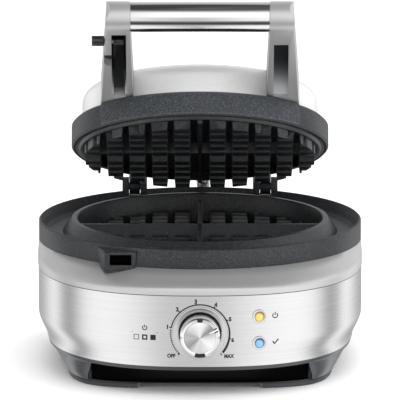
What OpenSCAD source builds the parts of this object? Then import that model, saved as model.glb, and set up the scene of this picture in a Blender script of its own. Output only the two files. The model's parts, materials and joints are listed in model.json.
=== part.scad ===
// Round waffle maker: a lofted housing with an overflow moat, two toothed
// cooking plates, a rear-hinged lid with a tube handle and a latch hook.
// Millimetres, +Z up, front towards -Y, feet on z = 0, X = 0 on the centre line.

/* [Housing] */
// Width of the housing at its widest
base_w = 255.2; // [245:0.2:275]
// Reach of the front beyond half the housing's width, from the waffle centre
front_more = 19.4; // [14:0.2:30]
// Reach of the rear cover beyond half the housing's width, from the waffle centre
rear_more = 19.4; // [16:0.2:30]
// Squareness of the housing's plan: 2 is an ellipse, more is squarer
corner_power = 2.5; // [2.3:0.1:3]
// Height of the steel panel
panel_h = 56; // [50:0.5:70]
// Height of the panel's lower edge above the table
panel_low = 22.5; // [20:0.5:30]
// Amount that the side walls tuck in towards the table
side_tuck = 7.1; // [3:0.1:12]
// Height over which the side walls tuck in
tuck_h = 20; // [14:0.5:30]
// Thickness of the panel, shoulder and rear cover
panel_wall = 1.6; // [1.2:0.1:2.5]
// Height of the sloping shoulder above the panel
shoulder_h = 17.3; // [14:0.1:24]
// Angle by which the panel wraps past the widest point
wrap_angle = 14; // [5:1:30]

/* [Tray and feet] */
// Height of the tray's underside above the table
tray_clear = 4; // [3:0.1:8]
// Thickness of the tray
tray_wall = 2.5; // [2:0.1:4]
// Amount that the tray's side stands in at its underside
tray_in = 15.5; // [12:0.5:22]
// Amount that the tray's front and back stand in at its underside
tray_in_front = 24; // [18:0.5:30]
// Squareness of the tray's plan at its underside
tray_power = 4.5; // [3.5:0.1:6]
// Depth of the recess in the tray's front
front_recess = 4; // [2:0.5:5]
// Width of a corner foot
foot_w = 13; // [9:0.5:18]
// Distance of a corner foot's inner end from the centre line
foot_from = 49; // [40:1:60]
// Diameter of the posts that carry the moat ring
post_d = 11; // [9:0.5:13]
// Diameter of the screw holes in the posts
post_bore = 4.4; // [4.2:0.1:5]
// Diameter of the screws' heads
screw_head_d = 8; // [7:0.5:8.5]

/* [Moat ring] */
// Amount that the moat ring stands in from the housing's side
ring_inset = 0.4; // [0:0.1:2]
// Height of the moat ring
ring_h = 15.6; // [14:0.1:20]
// Depth of the overflow moat
moat_depth = 10; // [7:0.5:11]
// Thickness of the moat's floor
moat_floor = 3; // [2:0.1:3.5]
// Width of the moat ring's flat top edge
moat_edge = 1.6; // [1.2:0.1:3]
// Slope of the moat's outer wall, measured across
moat_slope = 2.6; // [1:0.1:4]
// Distance of the latch socket from the middle of the arm's recess
latch_shift = 1.2; // [0:0.1:3]
// Width of the socket block
socket_block_w = 24.9; // [22:0.1:28]
// Height of the socket block
socket_block_h = 16.1; // [14:0.1:17]
// Width of the latch socket
socket_w = 15.3; // [12:0.1:16]
// Height of the latch socket
socket_h = 7.4; // [6.8:0.1:8]
// Depth of the socket's middle below the ring's top
socket_low = 10; // [9.5:0.1:10.5]

/* [Cooking plates] */
// Distance from the housing's side to the plates' rims
moat_span = 26.1; // [24:0.1:30]
// Width of the plates' rims round the waffle cavity
plate_edge = 4.8; // [4:0.1:7]
// Height of the lower plate's rim above the moat ring
rim_rise = 0.8; // [0.5:0.1:2]
// Thickness of the plates' webs
plate_t = 5; // [4:0.1:7]
// Distance between neighbouring teeth
tooth_pitch = 17.7; // [17:0.1:18.4]
// Distance of the first teeth from the centre line
tooth_first = 14; // [13:0.1:15]
// Width of a tooth at its tip
tooth_tip = 11.4; // [9:0.1:12]
// Width of a tooth at its root
tooth_root = 14.2; // [13:0.1:15]
// Height of a tooth
tooth_h = 12.6; // [9:0.1:13]
// Depth of the lower teeth's tips below the moat ring's top
lower_tip = 12; // [11:0.1:14]
// Reach of the upper teeth's tips below the lid's rim
upper_tip = 8.9; // [8:0.1:9.8]
// Depth of the lower dividing ribs below the moat ring's top
lower_rib = 4.9; // [4.5:0.1:7]
// Reach of the upper dividing ribs below the lid's rim
upper_rib = 4.6; // [3:0.1:4.8]
// Depth of the lip round the upper plate's teeth, below the lid's rim
upper_lip = 2; // [1:0.1:2.6]
// Width of a dividing rib at its crest
rib_tip = 3.2; // [2.4:0.1:4]
// Width of a dividing rib at its root
rib_root = 5.6; // [5:0.1:8]

/* [Lid] */
// Angle at which the lid stands open
lid_open = 25.7; // [0:0.1:40]
// Gap between the closed lid and the lower plate
lid_gap = 0.3; // [0.3:0.1:1]
// Height of the lid's rim
rim_h = 18.5; // [17:0.1:24]
// Thickness of the lid's rim
rim_wall = 2.9; // [2:0.1:3.2]
// Amount that the lid's steel cover stands in from the rim
cover_step = 8.3; // [7:0.1:12]
// Height of the cover above the rim
cover_h = 27.3; // [22:0.1:34]
// Radius of the cover's upper edge
cover_edge = 11; // [6:0.5:14]
// Thickness of the cover
cover_wall = 1.2; // [0.8:0.1:2]

/* [Hinge] */
// Distance of the hinge axis inside the moat ring's outer edge
hinge_in = 5.5; // [4:0.1:7]
// Height of the hinge axis above the moat ring
hinge_up = 1.6; // [1:0.1:3]
// Distance of the hinge lugs from the centre line
lug_x = 52.3; // [48:0.1:56]
// Width of a hinge lug
lug_w = 8.5; // [7:0.1:10]
// Radius of a hinge lug round its pin
lug_r = 6.5; // [6:0.1:8]
// Width of a bracket's ear
ear_w = 5.3; // [4:0.1:6]
// Diameter of a hinge pin
hinge_pin_d = 6; // [5:0.1:7]

/* [Handle] */
// Length of an arm's underside from the rim to the tube
arm_len = 97.2; // [88:0.1:104]
// Angle of an arm's underside above the lid's rim
arm_angle = 17.7; // [14:0.1:20]
// Distance of an arm's outer face inside the rim's side, at the root
arm_in_from_rim = 24.5; // [22:0.1:28]
// Width of an arm at the root
arm_w = 25.4; // [23:0.1:28]
// Amount that an arm's outer face leans in towards the tube
arm_out_lean = 4.2; // [3:0.1:5]
// Amount that an arm's inner face leans out towards the tube
arm_in_lean = 2.6; // [1.4:0.1:3]
// Diameter of the handle tube
tube_d = 23.4; // [21:0.1:24.4]
// Thickness of the handle tube
tube_wall = 1.5; // [1:0.1:2.5]
// Diameter of the arms' round ends
boss_d = 24.8; // [24.6:0.1:28]
// Width of the recess
recess_w = 11.4; // [11:0.1:12.4]
// Width of the handle bracket's arc, as an angle each side
bracket_angle = 48.9; // [46:0.1:54]
// Amount that the handle bracket stands proud of the rim
bracket_proud = 2; // [1.5:0.1:3]

/* [Latch] */
// Distance of the latch pivot along the arm from its root
latch_pivot = 71; // [70:0.1:72]
// Depth of the latch pivot in the arm
latch_deep = 7.5; // [7.3:0.1:7.7]
// Width of the latch hook
hook_w = 8; // [6:0.1:8.6]
// Thickness of the latch hook
hook_t = 5; // [4:0.1:5.4]
// Length of the hook's barb
barb_len = 8; // [7:0.1:8.2]
// Diameter of the latch pin
latch_pin_d = 4; // [3.4:0.1:4.4]
// Diameter of the latch knob
latch_knob_d = 8.1; // [7:0.1:9]
// Length of the latch knob outside the arm
latch_knob_len = 9.8; // [7:0.1:13]

/* [Controls] */
// Distance of the dial's axis below the panel's upper seam
dial_drop = 29.5; // [27:0.1:31]
// Diameter of the dial's skirt
dial_d = 31.2; // [29:0.1:32]
// Length by which the dial stands out of the panel
dial_out = 17.6; // [14:0.1:22]
// Outer diameter of the dial's bezel
bezel_d = 42.6; // [38:0.1:44]
// Diameter of the dial's shaft
shaft_d = 6; // [5:0.1:7]
// Running clearance of shafts and pins, on the radius
running_gap = 0.05; // [0.02:0.01:0.09]
// Distance of the lamps from the centre line
lamp_x = 46.1; // [42:0.1:50]
// Distance of the power lamp below the panel's upper seam
power_drop = 16.8; // [14:0.1:18]
// Distance of the ready lamp below the panel's upper seam
ready_drop = 37.9; // [35:0.1:39]
// Diameter of a lamp's lens
lamp_d = 7.7; // [6:0.1:8.5]

/* [Wiring] */
// Diameter of the sleeve that takes the wires to the lid
sleeve_d = 10.7; // [9:0.1:12]
// Length by which the cord gland stands out of the rear cover
gland_out = 6; // [4:0.5:10]
// Diameter of the cord gland's passage
gland_bore = 7.4; // [6:0.1:9]

/* [Hidden] */
$fn = 96;

SEAT = 0.2;        // gap between pieces that lie against each other
CUT = 1;           // run-out of a cutting tool past a face

// Levels of the housing, from the table up
panel_top = panel_low + panel_h;
ring_low = panel_top + shoulder_h;
ring_top = ring_low + ring_h;
rim_top = ring_top + rim_rise;
closed_z = rim_top + lid_gap;
dial_z = panel_top - dial_drop;

// Plan sizes
half_w = base_w / 2;
span = 2 * base_w; // longer than any piece, for cutting tools
base_front = half_w + front_more;
base_rear = half_w + rear_more;
ring_r = half_w - ring_inset;
plate_r = half_w - moat_span;
cavity_r = plate_r - plate_edge;
hinge_back = ring_r - hinge_in;
arm_out_root = plate_r - arm_in_from_rim;
arm_in_root = arm_out_root - arm_w;
arm_out_tip = arm_out_root - arm_out_lean;
arm_in_tip = arm_in_root + arm_in_lean;
recess_x = (arm_out_root + arm_in_root) / 2 - 1.2;
latch_x = recess_x - latch_shift;
centre_y = (base_front + dial_out - base_rear - gland_out) / 2;
rear_proud = 0.8;
terminal_w = 34;
terminal_d = 18;
terminal_h = 15;
gland_z = panel_low + 15;

// The plates and what lies behind them
floor_z = ring_top - lower_tip - tooth_h;
upper_face = tooth_h - upper_tip;
plate_draft = 3.7;
teeth_r = cavity_r - plate_draft - 1;
teeth_per_side = 5;
skirt_r = plate_r + 7;
moat_in_r = plate_r + 3;
heater_r = 0.64 * cavity_r;
heater_d = 8;
shield_wall = 1.2;
post_spots = [for (a = [40, 140, 220, 320]) (ring_r - 14.6) * [cos(a), sin(a)]];

hinge_z = ring_top + hinge_up;
ear_x = lug_w / 2 + 0.3;

bracket_screw_d = 3;
rod_d = 5;

// The handle, in the closed lid's frame
bracket_r = plate_r + bracket_proud;
root = [-sqrt(pow(bracket_r, 2) - pow((arm_out_root + arm_in_root) / 2, 2)), rim_h + 0.1];
boss_r = boss_d / 2;
tube_c = arm_point(arm_len, boss_r);
pivot = arm_point(latch_pivot, latch_deep);
cover_r = plate_r - cover_step;
cover_top = rim_h + cover_h;

// The hook reaches from its pivot to the socket, when the lid is closed
socket_z = ring_top - socket_low;
socket_face = sqrt(pow(ring_r, 2) - pow(latch_x, 2)) + 7.4;
hook_end = [-socket_face - 3, socket_z + 1 - closed_z];
hook_reach = norm(hook_end - pivot);
hook_angle = atan2(pivot.y - hook_end.y, hook_end.x - pivot.x);

// Points of a route from the base's socket to the lid's gland
sleeve_low = [3.5, base_rear - 8.6, ring_low - 3.5];
gland_spot = [0, plate_r, 9];
sleeve_sides = 12;
sleeve_steps = 14;

// ---- Curves and lofts ----

function power(v, p) = sign(v) * pow(abs(v), p);

// A point of the housing's plan at angle a, with half-width w and depths f and r
function plan_point(a, w, f, r, p) =
    [w * power(cos(a), 2 / p), (sin(a) < 0 ? f : r) * power(sin(a), 2 / p)];

// Part of the plan from angle a to angle b, at height z
function plan_arc(z, w, f, r, a, b, n, p = corner_power) =
    [for (i = [0:n]) let (q = plan_point(a + (b - a) * i / n, w, f, r, p)) [q.x, q.y, z]];

// The whole plan, as a closed ring
function plan_ring(z, w, f, r, n, p = corner_power) =
    [for (i = [0:n - 1]) let (q = plan_point(360 * i / n, w, f, r, p)) [q.x, q.y, z]];

// Depth of the front panel at distance x from the centre line, and its slope there
function panel_y(x) = -base_front * pow(1 - pow(abs(x) / half_w, corner_power), 1 / corner_power);
function panel_turn(x) = atan2(panel_y(x + 0.5) - panel_y(x - 0.5), 1);

// Inward tuck of the side wall at height z
function tuck(z) =
    let (s = min(1, max(0, (panel_low + tuck_h - z) / tuck_h))) side_tuck * s * s * (3 - 2 * s);

// Point where a line from p touches the circle round c, on side s
function tangent(p, c, r, s) =
    let (v = p - c, a = atan2(v.y, v.x) + s * acos(r / norm(v))) c + r * [cos(a), sin(a)];

// Point of the lid at length t along an arm's underside and depth d into it
function arm_point(t, d) =
    root + t * [-cos(arm_angle), sin(arm_angle)] + d * [sin(arm_angle), cos(arm_angle)];

// A point of the closed lid, [x, y, z], where the open lid carries it
function opened(p) =
    let (y = p.y - hinge_back, z = p.z + closed_z - hinge_z)
    [p.x, hinge_back + y * cos(lid_open) + z * sin(lid_open),
        hinge_z - y * sin(lid_open) + z * cos(lid_open)];

function bezier(p, t) =
    p[0] * pow(1 - t, 3) + p[1] * 3 * t * pow(1 - t, 2) + p[2] * 3 * t * t * (1 - t) + p[3] * pow(t, 3);

// Faces between ring j and the next one, each with n points
function band_faces(j, k, n) = [for (i = [0:n - 1]) let (a = i, b = (i + 1) % n)
    each [[j * n + a, j * n + b, k * n + b], [j * n + a, k * n + b, k * n + a]]];

// Solid through a stack of like outlines, closed by the first and the last
module stack(rings) {
    n = len(rings[0]);
    m = len(rings);
    polyhedron(points = [for (r = rings) each r], convexity = 8,
        faces = concat([[for (i = [n - 1:-1:0]) (m - 1) * n + i]], [[for (i = [0:n - 1]) i]],
            [for (j = [0:m - 2]) each [for (f = band_faces(j, j + 1, n)) [f[2], f[1], f[0]]]]));
}

// Solid whose outlines run round a wall's section and back to the first
module wall_loop(rings) {
    n = len(rings[0]);
    m = len(rings);
    polyhedron(points = [for (r = rings) each r], convexity = 8,
        faces = [for (j = [0:m - 1]) each [for (f = band_faces(j, (j + 1) % m, n)) [f[2], f[1], f[0]]]]);
}

// ---- Frames ----

module at_centre() { translate([0, centre_y, 0]) children(); }

// The closed lid's frame, turned open about the hinge
module at_lid() {
    at_centre() translate([0, hinge_back, hinge_z]) rotate([-lid_open, 0, 0])
        translate([0, -hinge_back, closed_z - hinge_z]) children();
}

// An arm's frame: y along its underside to the tube, z out of its underside
module at_arm() { translate([0, root.x, root.y]) rotate([180 - arm_angle, 0, 0]) children(); }

// A drawing in Y and Z, given width along X
module across(w, x = 0) {
    translate([x - w / 2, 0, 0]) rotate([90, 0, 90]) linear_extrude(w) children();
}

module round_bar(d, w, x = 0) {
    translate([x - w / 2, 0, 0]) rotate([0, 90, 0]) cylinder(d = d, h = w);
}

// A piece on the front panel: its own z runs out of the panel at x and height z
module on_panel(x, z) {
    at_centre() translate([x, panel_y(x), z]) rotate([90, 0, panel_turn(x)]) children();
}

// ---- Base ----

// Levels of the tray from its underside up: the share of its height, and the shares
// of its inset and of its squareness that are left there
tray_curve = [[0, 1, 1], [0.08, 0.9, 0.97], [0.3, 0.7, 0.65], [0.55, 0.45, 0.3], [0.8, 0.16, 0.05],
    [0.83, 0.05, 0], [1, 0.03, 0]];
recess_angle = 50; // end of the front recess, from the cross axis
step_angle = 0.6;

// Directions of the tray's outline from the middle of the back round to it again
function tray_angles(grow) = let (e = recess_angle - grow, d = step_angle)
    concat([for (i = [0:27]) 90 + i * (90 + e - d) / 27], [for (i = [0:16]) 180 + e + d + i * (180 - 2 * e - 2 * d) / 16],
        [for (i = [0:26]) 360 - e + d + i * (90 + e - d) / 27]);

// One level of the tray, inside (1) or outside (0)
function tray_ring(c, inside) =
    let (z = tray_clear + c[0] * (panel_low - tray_clear) + inside * tray_wall * (1 - c[0]), g = inside * tray_wall,
        p = corner_power + c[2] * (tray_power - corner_power), w = half_w - side_tuck - c[1] * tray_in - g,
        front = base_front - c[1] * tray_in_front - g, rear = base_rear - c[1] * tray_in_front - g,
        deep = c[0] > 0.82 || (c[0] == 0 && inside == 0) ? 0 : front_recess)
    [for (a = tray_angles(2 * inside)) let (q = plan_point(a, w, front, rear, p),
        dent = sin(a) < 0 && abs(cos(a)) < cos(recess_angle - 2 * inside) ? deep : 0) [q.x, q.y + dent, z]];

// A foot follows the tray's outline round a corner
module foot_outline() {
    w = half_w - side_tuck - tray_in - 0.5;
    f = base_front - tray_in_front - 0.5;
    from = acos(pow(foot_from / w, tray_power / 2));
    edge = concat(plan_arc(0, w, f, f, 7, from, 16, tray_power),
        plan_arc(0, w - foot_w, f - foot_w, f - foot_w, from - 2, 9, 16, tray_power));
    polygon([for (q = edge) [q.x, q.y]]);
}

module each_foot() {
    for (i = [0, 1], j = [0, 1]) mirror([i, 0]) mirror([0, j]) children();
}

module base_tray() {
    outer = [for (c = tray_curve) tray_ring(c, 0)];
    inner = [for (i = [len(tray_curve) - 1:-1:0]) tray_ring(tray_curve[i], 1)];
    color("#191b1d") at_centre() difference() {
        union() {
            stack(concat(outer, inner));
            for (p = post_spots) translate([p.x, p.y, tray_clear + tray_wall / 2])
                cylinder(d = post_d, h = ring_top - moat_depth - moat_floor - tray_clear - tray_wall / 2);
        }
        for (p = post_spots) translate([p.x, p.y, 0]) {
            translate([0, 0, -CUT]) cylinder(d = post_bore, h = ring_top);
            translate([0, 0, -CUT]) cylinder(d = screw_head_d + 0.6, h = tray_clear + 9 + CUT);
        }
    }
}

module feet() {
    color("#0d0e0f") at_centre() linear_extrude(tray_clear) each_foot() foot_outline();
}

// Half-width and depths of the panel at height z, grown by g
function panel_arc(z, g, a, b, n) =
    plan_arc(z, half_w - tuck(z) + g, base_front + g, base_rear + g, a, b, n);

// A bent sheet between two angles, from the panel's lower edge to its seam
module bent_sheet(a, b, n, out) {
    steps = 6;
    levels = concat([for (i = [0:steps]) panel_low + tuck_h * i / steps], [panel_top]);
    rings = [for (z = levels) concat(panel_arc(z, out, a, b, n), panel_arc(z, out - panel_wall, b, a, n))];
    m = len(rings[0]);
    top = (len(rings) - 1) * m;
    polyhedron(points = [for (r = rings) each r], convexity = 8, faces = concat(
        [for (i = [0:n - 1]) [i, i + 1, m - 2 - i, m - 1 - i]],
        [for (i = [0:n - 1]) [top + m - 1 - i, top + m - 2 - i, top + i + 1, top + i]],
        [for (j = [0:len(rings) - 2]) each [for (f = band_faces(j, j + 1, m)) [f[2], f[1], f[0]]]]));
}

module front_panel() {
    color("#b4b5b6") difference() {
        at_centre() bent_sheet(180 - wrap_angle, 360 + wrap_angle, 60, 0);
        on_panel(0, dial_z) translate([0, 0, -8]) cylinder(d = bezel_d + 0.2, h = 16);
        for (d = [power_drop, ready_drop]) on_panel(lamp_x, panel_top - d)
            translate([0, 0, -8]) cylinder(d = lamp_d + 2.2, h = 16);
    }
}

module rear_cover() {
    gland_hole_d = gland_bore + 8;
    color("#232527") difference() {
        at_centre() bent_sheet(wrap_angle + 0.1, 179.9 - wrap_angle, 46, rear_proud);
        at_gland() cylinder(d = gland_hole_d, h = 30, center = true);
    }
}

// The shoulder blends from the housing's plan to the round moat ring: at a share of
// its height it has gone the share s of the way
function shoulder_ring(share, s, g, n) =
    let (z = panel_top + share * shoulder_h, mix = 1 - s)
    plan_ring(z, half_w * mix + ring_r * s + g, base_front * mix + ring_r * s + g,
        base_rear * mix + ring_r * s + g, n, corner_power * mix + 2 * s);

// The shoulder's section: an upright lip, a rolled edge and the slope up to the ring
shoulder_curve = [[0.02, 0], [0.27, 0], [0.37, 0.03], [0.44, 0.1], [0.5, 0.21], [0.56, 0.34], [0.75, 0.65], [1, 1]];

module shoulder_trim() {
    lip = 0.5;
    n = 72;
    outer = concat([shoulder_ring(0, 0, lip - 0.3, n)], [for (c = shoulder_curve)
        shoulder_ring(c[0], c[1], lip * (1 - c[1]), n)]);
    inner = [for (i = [len(shoulder_curve) - 1:-2:1]) let (c = shoulder_curve[i])
        shoulder_ring(c[0], c[1], lip * (1 - c[1]) - panel_wall, n)];
    color("#c3c4c5") difference() {
        at_centre() wall_loop(concat(outer, inner, [shoulder_ring(0, 0, lip - panel_wall, n)]));
        at_centre() socket_block(SEAT);
        at_centre() translate([sleeve_low.x, sleeve_low.y, ring_low])
            cylinder(d = sleeve_d + 4.4 + 2 * SEAT, h = 60, center = true);
    }
}

// Section of the moat ring, from its outer wall round to the plate's seat
moat_section = [[ring_r, ring_low], [ring_r, ring_top - 0.8], [ring_r - 0.8, ring_top],
    [ring_r - moat_edge, ring_top], [ring_r - moat_edge - moat_slope, ring_top - moat_depth + 2],
    [ring_r - moat_edge - moat_slope - 2, ring_top - moat_depth], [moat_in_r, ring_top - moat_depth],
    [moat_in_r, ring_top - moat_depth - moat_floor],
    [ring_r - moat_edge - moat_slope - 3, ring_top - moat_depth - moat_floor],
    [ring_r - moat_edge - moat_slope - 1, ring_low]];

// Block with the latch's socket, on the ring's front left, grown by g: its left side
// runs back to the ring as a slanted facet, and its underside slopes up to the ring
module socket_block(g = 0) {
    facet = 0.26 * socket_block_w;
    top = ring_top - 3.3;
    low = top - socket_block_h - g;
    front = -socket_face - g;
    left = -latch_x - socket_block_w / 2 - g;
    right = -latch_x + socket_block_w / 2 + g;
    side_y = -sqrt(pow(ring_r, 2) - pow(left - facet, 2)) + 1;
    back = side_y + 4;
    difference() {
        intersection() {
            across(right - left + facet, (left - facet + right) / 2) polygon([[front, low], [front, top - 1],
                [front + 1, top], [back, top], [back, low + 4.3]]);
            linear_extrude(span) polygon([[left, front], [right, front], [right, back], [left - facet, back],
                [left - facet, side_y]]);
            rotate([90, 0, 0]) linear_extrude(span) polygon([[left - facet + 3.4, low], [right - 1.5, low],
                [right, top], [left - facet, top]]);
        }
        cylinder(r = ring_r - 10, h = span);
    }
}

// Hinge bracket: two round ears and the foot that joins them to the ring
module hinge_bracket(x) {
    out_x = ear_x + ear_w;
    foot_top = hinge_z - lug_r - 0.6;
    for (s = [-1, 1]) across(ear_w, x + s * (ear_x + ear_w / 2)) {
        translate([hinge_back, hinge_z]) circle(r = lug_r + 1);
        polygon([[hinge_back - lug_r - 1, foot_top - 4], [hinge_back + lug_r + 1, foot_top - 4],
            [hinge_back + lug_r + 1, hinge_z], [hinge_back - lug_r - 1, hinge_z]]);
    }
    across(2 * out_x, x) polygon([[ring_r - 17, foot_top - 6], [hinge_back + 1, ring_low + 0.3],
        [hinge_back + lug_r + 1, foot_top - 4], [hinge_back + lug_r + 1, foot_top], [ring_r - 17, foot_top]]);
}

module moat_ring() {
    color("#2b2f33") at_centre() difference() {
        union() {
            rotate_extrude($fn = 144) polygon(moat_section);
            socket_block();
            for (s = [-1, 1]) hinge_bracket(s * lug_x);
        }
        translate([-latch_x - socket_w / 2, -socket_face - CUT, socket_z - socket_h / 2])
            cube([socket_w, 8 + CUT, socket_h]);
        for (s = [-1, 1]) {
            translate([s * lug_x - ear_x, hinge_back - 14, hinge_z - lug_r - 0.6])
                cube([2 * ear_x, 30, 30]);
            translate([0, hinge_back, hinge_z]) round_bar(hinge_pin_d, 2 * (ear_x + ear_w) + 2, s * lug_x);
        }
    }
}

// Teeth on a grid, cut round: the crossing of two combs
module teeth(face, up, root_z) {
    tip_z = face + up * tooth_h;
    half_field = tooth_first + teeth_per_side * tooth_pitch;
    module comb() {
        for (s = [-1, 1], i = [0:teeth_per_side - 1]) translate([s * (tooth_first + i * tooth_pitch), 0])
            polygon([[-tooth_root / 2, face - up], [tooth_root / 2, face - up],
                [tooth_tip / 2, tip_z], [-tooth_tip / 2, tip_z]]);
    }
    intersection() {
        rotate([90, 0, 0]) linear_extrude(2 * half_field, center = true) comb();
        rotate([90, 0, 90]) linear_extrude(2 * half_field, center = true) comb();
        translate([0, 0, min(root_z, tip_z) - 1]) cylinder(r = teeth_r, h = 2 + abs(tip_z - root_z), $fn = 144);
    }
}

// Cross of dividing ribs from the plate's face to their crest
module ribs(face, up, crest_z, reach) {
    for (a = [0, 90]) rotate([90, 0, a]) linear_extrude(2 * reach, center = true)
        polygon([[-rib_root / 2, face - up], [rib_root / 2, face - up],
            [rib_tip / 2, crest_z], [-rib_tip / 2, crest_z]]);
}

lower_section = [[0, floor_z - plate_t], [teeth_r - 1, floor_z - plate_t], [teeth_r + 3, floor_z - plate_t + 4],
    [cavity_r + 1.2, ring_top - 6], [moat_in_r - 2, ring_top - moat_depth + 0.5],
    [moat_in_r - 2, ring_top - moat_depth], [skirt_r, ring_top - moat_depth],
    [skirt_r - 0.6, ring_top - moat_depth + 1], [plate_r + 1, ring_top - 1.6], [plate_r - 0.4, rim_top - 0.3],
    [plate_r - 1.2, rim_top], [cavity_r + 0.8, rim_top], [cavity_r, rim_top - 0.8],
    [cavity_r - plate_draft, floor_z + 3], [cavity_r - plate_draft - 3, floor_z], [0, floor_z]];

module lower_plate() {
    color("#33373b") at_centre() {
        rotate_extrude($fn = 144) polygon(lower_section);
        teeth(floor_z, 1, floor_z - 1);
        intersection() {
            ribs(floor_z, 1, ring_top - lower_rib, cavity_r);
            cylinder(r1 = cavity_r - plate_draft - 4, r2 = cavity_r + 1, h = ring_top, $fn = 144);
        }
    }
}

module heater_ring() {
    rotate_extrude() translate([heater_r, 0]) circle(d = heater_d, $fn = 32);
}

module lower_heater() {
    color("#6b6e70") at_centre() translate([0, 0, floor_z - plate_t - heater_d / 2 - SEAT]) heater_ring();
}

module lower_heat_shield() {
    top = ring_top - moat_depth - moat_floor;
    low = floor_z - plate_t - heater_d - 5;
    wall_r = moat_in_r - 4;
    color("#9a9da0") at_centre() rotate_extrude() polygon([[0, low], [wall_r - 3, low], [wall_r, low + 3],
        [wall_r, top - shield_wall], [moat_in_r + 1, top - shield_wall], [moat_in_r + 1, top],
        [wall_r - shield_wall, top], [wall_r - shield_wall, low + 3.5],
        [wall_r - 3.5, low + shield_wall], [0, low + shield_wall]]);
}

module plate_thermostat() {
    color("#8a8d90") at_centre() translate([0, 0, floor_z - plate_t - SEAT - 7]) {
        cylinder(d = 16, h = 7);
        for (s = [-1, 1]) translate([s * 6, 0, -1]) cube([2.4, 6.3, 5], center = true);
    }
}

board_y = -base_front + 19;
board_t = 1.6;

// Board with the dial's control and the lamps, on two legs that stand on the tray
module control_board() {
    board_w = 2 * lamp_x + 12;
    low = panel_low + 1.5;
    foot = tray_clear + tray_wall;
    leg_back = 19;
    color("#2f5d3a") at_centre() {
        translate([-board_w / 2, board_y, low]) cube([board_w, board_t, panel_h - 10]);
        for (x = [-45, -25, 22]) translate([x, board_y + board_t, low + 8]) cube([12, 9, 14]);
        for (s = [-1, 1]) {
            translate([s * 20 - 4, board_y + board_t / 2, low]) cube([8, leg_back + 3, 2]);
            translate([s * 20, board_y + leg_back, foot]) cylinder(d = 4, h = low + 1 - foot);
        }
    }
}

module dial_control() {
    back = board_y - SEAT;
    front = -base_front + 5.4;
    color("#3a3c3e") at_centre() translate([0, back, dial_z]) rotate([90, 0, 0]) difference() {
        union() {
            cylinder(d = 24, h = 9);
            cylinder(d = shaft_d + 5, h = back - front);
        }
        translate([0, 0, 3]) cylinder(d = shaft_d + 2 * running_gap, h = 40);
    }
}

module dial_bezel() {
    r = bezel_d / 2;
    well_r = dial_d / 2 + 1;
    color("#a9abad") at_centre() translate([0, -base_front, dial_z]) rotate([90, 0, 0]) rotate_extrude()
        polygon([[shaft_d / 2 + 1, -5.2], [r, -5.2], [r, 0.6], [r - 0.6, 1], [r - 1.2, 0.8],
            [well_r + 0.6, -1], [well_r, -1.4], [well_r, -3.4], [shaft_d / 2 + 1, -3.4]]);
}

// A lamp's lens is a low dome on a light guide that ends at the board
module lamp(drop, shade) {
    reach = (board_y - panel_y(lamp_x)) / cos(panel_turn(lamp_x)) - 2;
    color(shade) on_panel(lamp_x, panel_top - drop) {
        translate([0, 0, -reach]) cylinder(d = lamp_d - 3, h = reach);
        translate([0, 0, -4]) cylinder(d = lamp_d, h = 4.6);
        translate([0, 0, 0.6]) scale([1, 1, 1]) intersection() {
            translate([0, 0, -lamp_d * 0.72]) sphere(r = lamp_d * 0.875);
            cylinder(d = lamp_d, h = 3);
        }
    }
}

module power_lamp() { lamp(power_drop, "#e8b52a"); }

module ready_lamp() { lamp(ready_drop, "#2f86c8"); }

module lamp_bezels() {
    r = lamp_d / 2;
    color("#c9cacb") for (d = [power_drop, ready_drop]) on_panel(lamp_x, panel_top - d) rotate_extrude()
        polygon([[r + 0.1, -3], [r + 1, -3], [r + 1, 0.1], [r + 1.7, 0.1], [r + 1.7, 0.5], [r + 1.2, 0.9], [r + 0.1, 0.7]]);
}

module terminal_block() {
    low = tray_clear + tray_wall;
    color("#d9d6cc") at_centre() translate([-2 * terminal_w, 40, low]) difference() {
        cube([terminal_w, terminal_d, terminal_h]);
        for (i = [-1:1]) translate([(0.5 + 0.3 * i) * terminal_w, terminal_d / 2, 0.4 * terminal_h])
            cylinder(d = 5, h = terminal_h);
    }
}

module base_screws() {
    head_h = 3;
    low = tray_clear + 9 - head_h;
    color("#77797b") at_centre() for (p = post_spots) translate([p.x, p.y, low]) {
        cylinder(d = screw_head_d, h = head_h);
        cylinder(d = post_bore - 0.4, h = ring_top - moat_depth - moat_floor - low - 1);
    }
}

module hinge_pins() {
    color("#8f9193") at_centre() for (s = [-1, 1])
        translate([0, hinge_back, hinge_z]) round_bar(hinge_pin_d, 2 * (ear_x + ear_w), s * lug_x);
}

// ---- Wiring ----

// The cord gland's frame: z runs out of the rear cover
module at_gland() { at_centre() translate([0, base_rear + rear_proud, gland_z]) rotate([-90, 0, 0]) children(); }

module cord_gland() {
    r = gland_bore / 2;
    out = gland_out - rear_proud;
    color("#151617") at_gland() rotate_extrude() polygon([[r, -6], [r + 3.9, -6], [r + 3.9, SEAT],
        [r + 6, SEAT], [r + 6, 1.8], [r + 4.8, 2.6], [r + 2.4, out], [r, out]]);
}

module sleeve_socket() {
    r = sleeve_d / 2;
    color("#25282b") at_centre() translate(sleeve_low) rotate_extrude()
        polygon([[0, -11], [r + 2.2, -11], [r + 2.2, -1.5], [r + 1.4, 0], [r + 0.4, 0], [r + 0.4, -4], [0, -4]]);
}

module sleeve_gland() {
    r = sleeve_d / 2;
    color("#25282b") at_lid() translate(gland_spot) rotate([-90, 0, 0]) rotate_extrude()
        polygon([[0, -rim_wall + 0.4], [r + 2.6, -rim_wall + 0.4], [r + 2.6, 2.4], [r + 1.6, 3.6],
            [r + 0.4, 3.6], [r + 0.4, 1], [0, 1]]);
}

// The sleeve is a tube swept along one smooth curve between its two ends
sleeve_start = sleeve_low + [0, 0, -3.7];
sleeve_end = opened(gland_spot + [0, 1.3, 0]);
sleeve_curve = [sleeve_start, sleeve_start + [0, 0, 31], sleeve_end + 12 * [0, cos(lid_open), -sin(lid_open)],
    sleeve_end];

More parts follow.
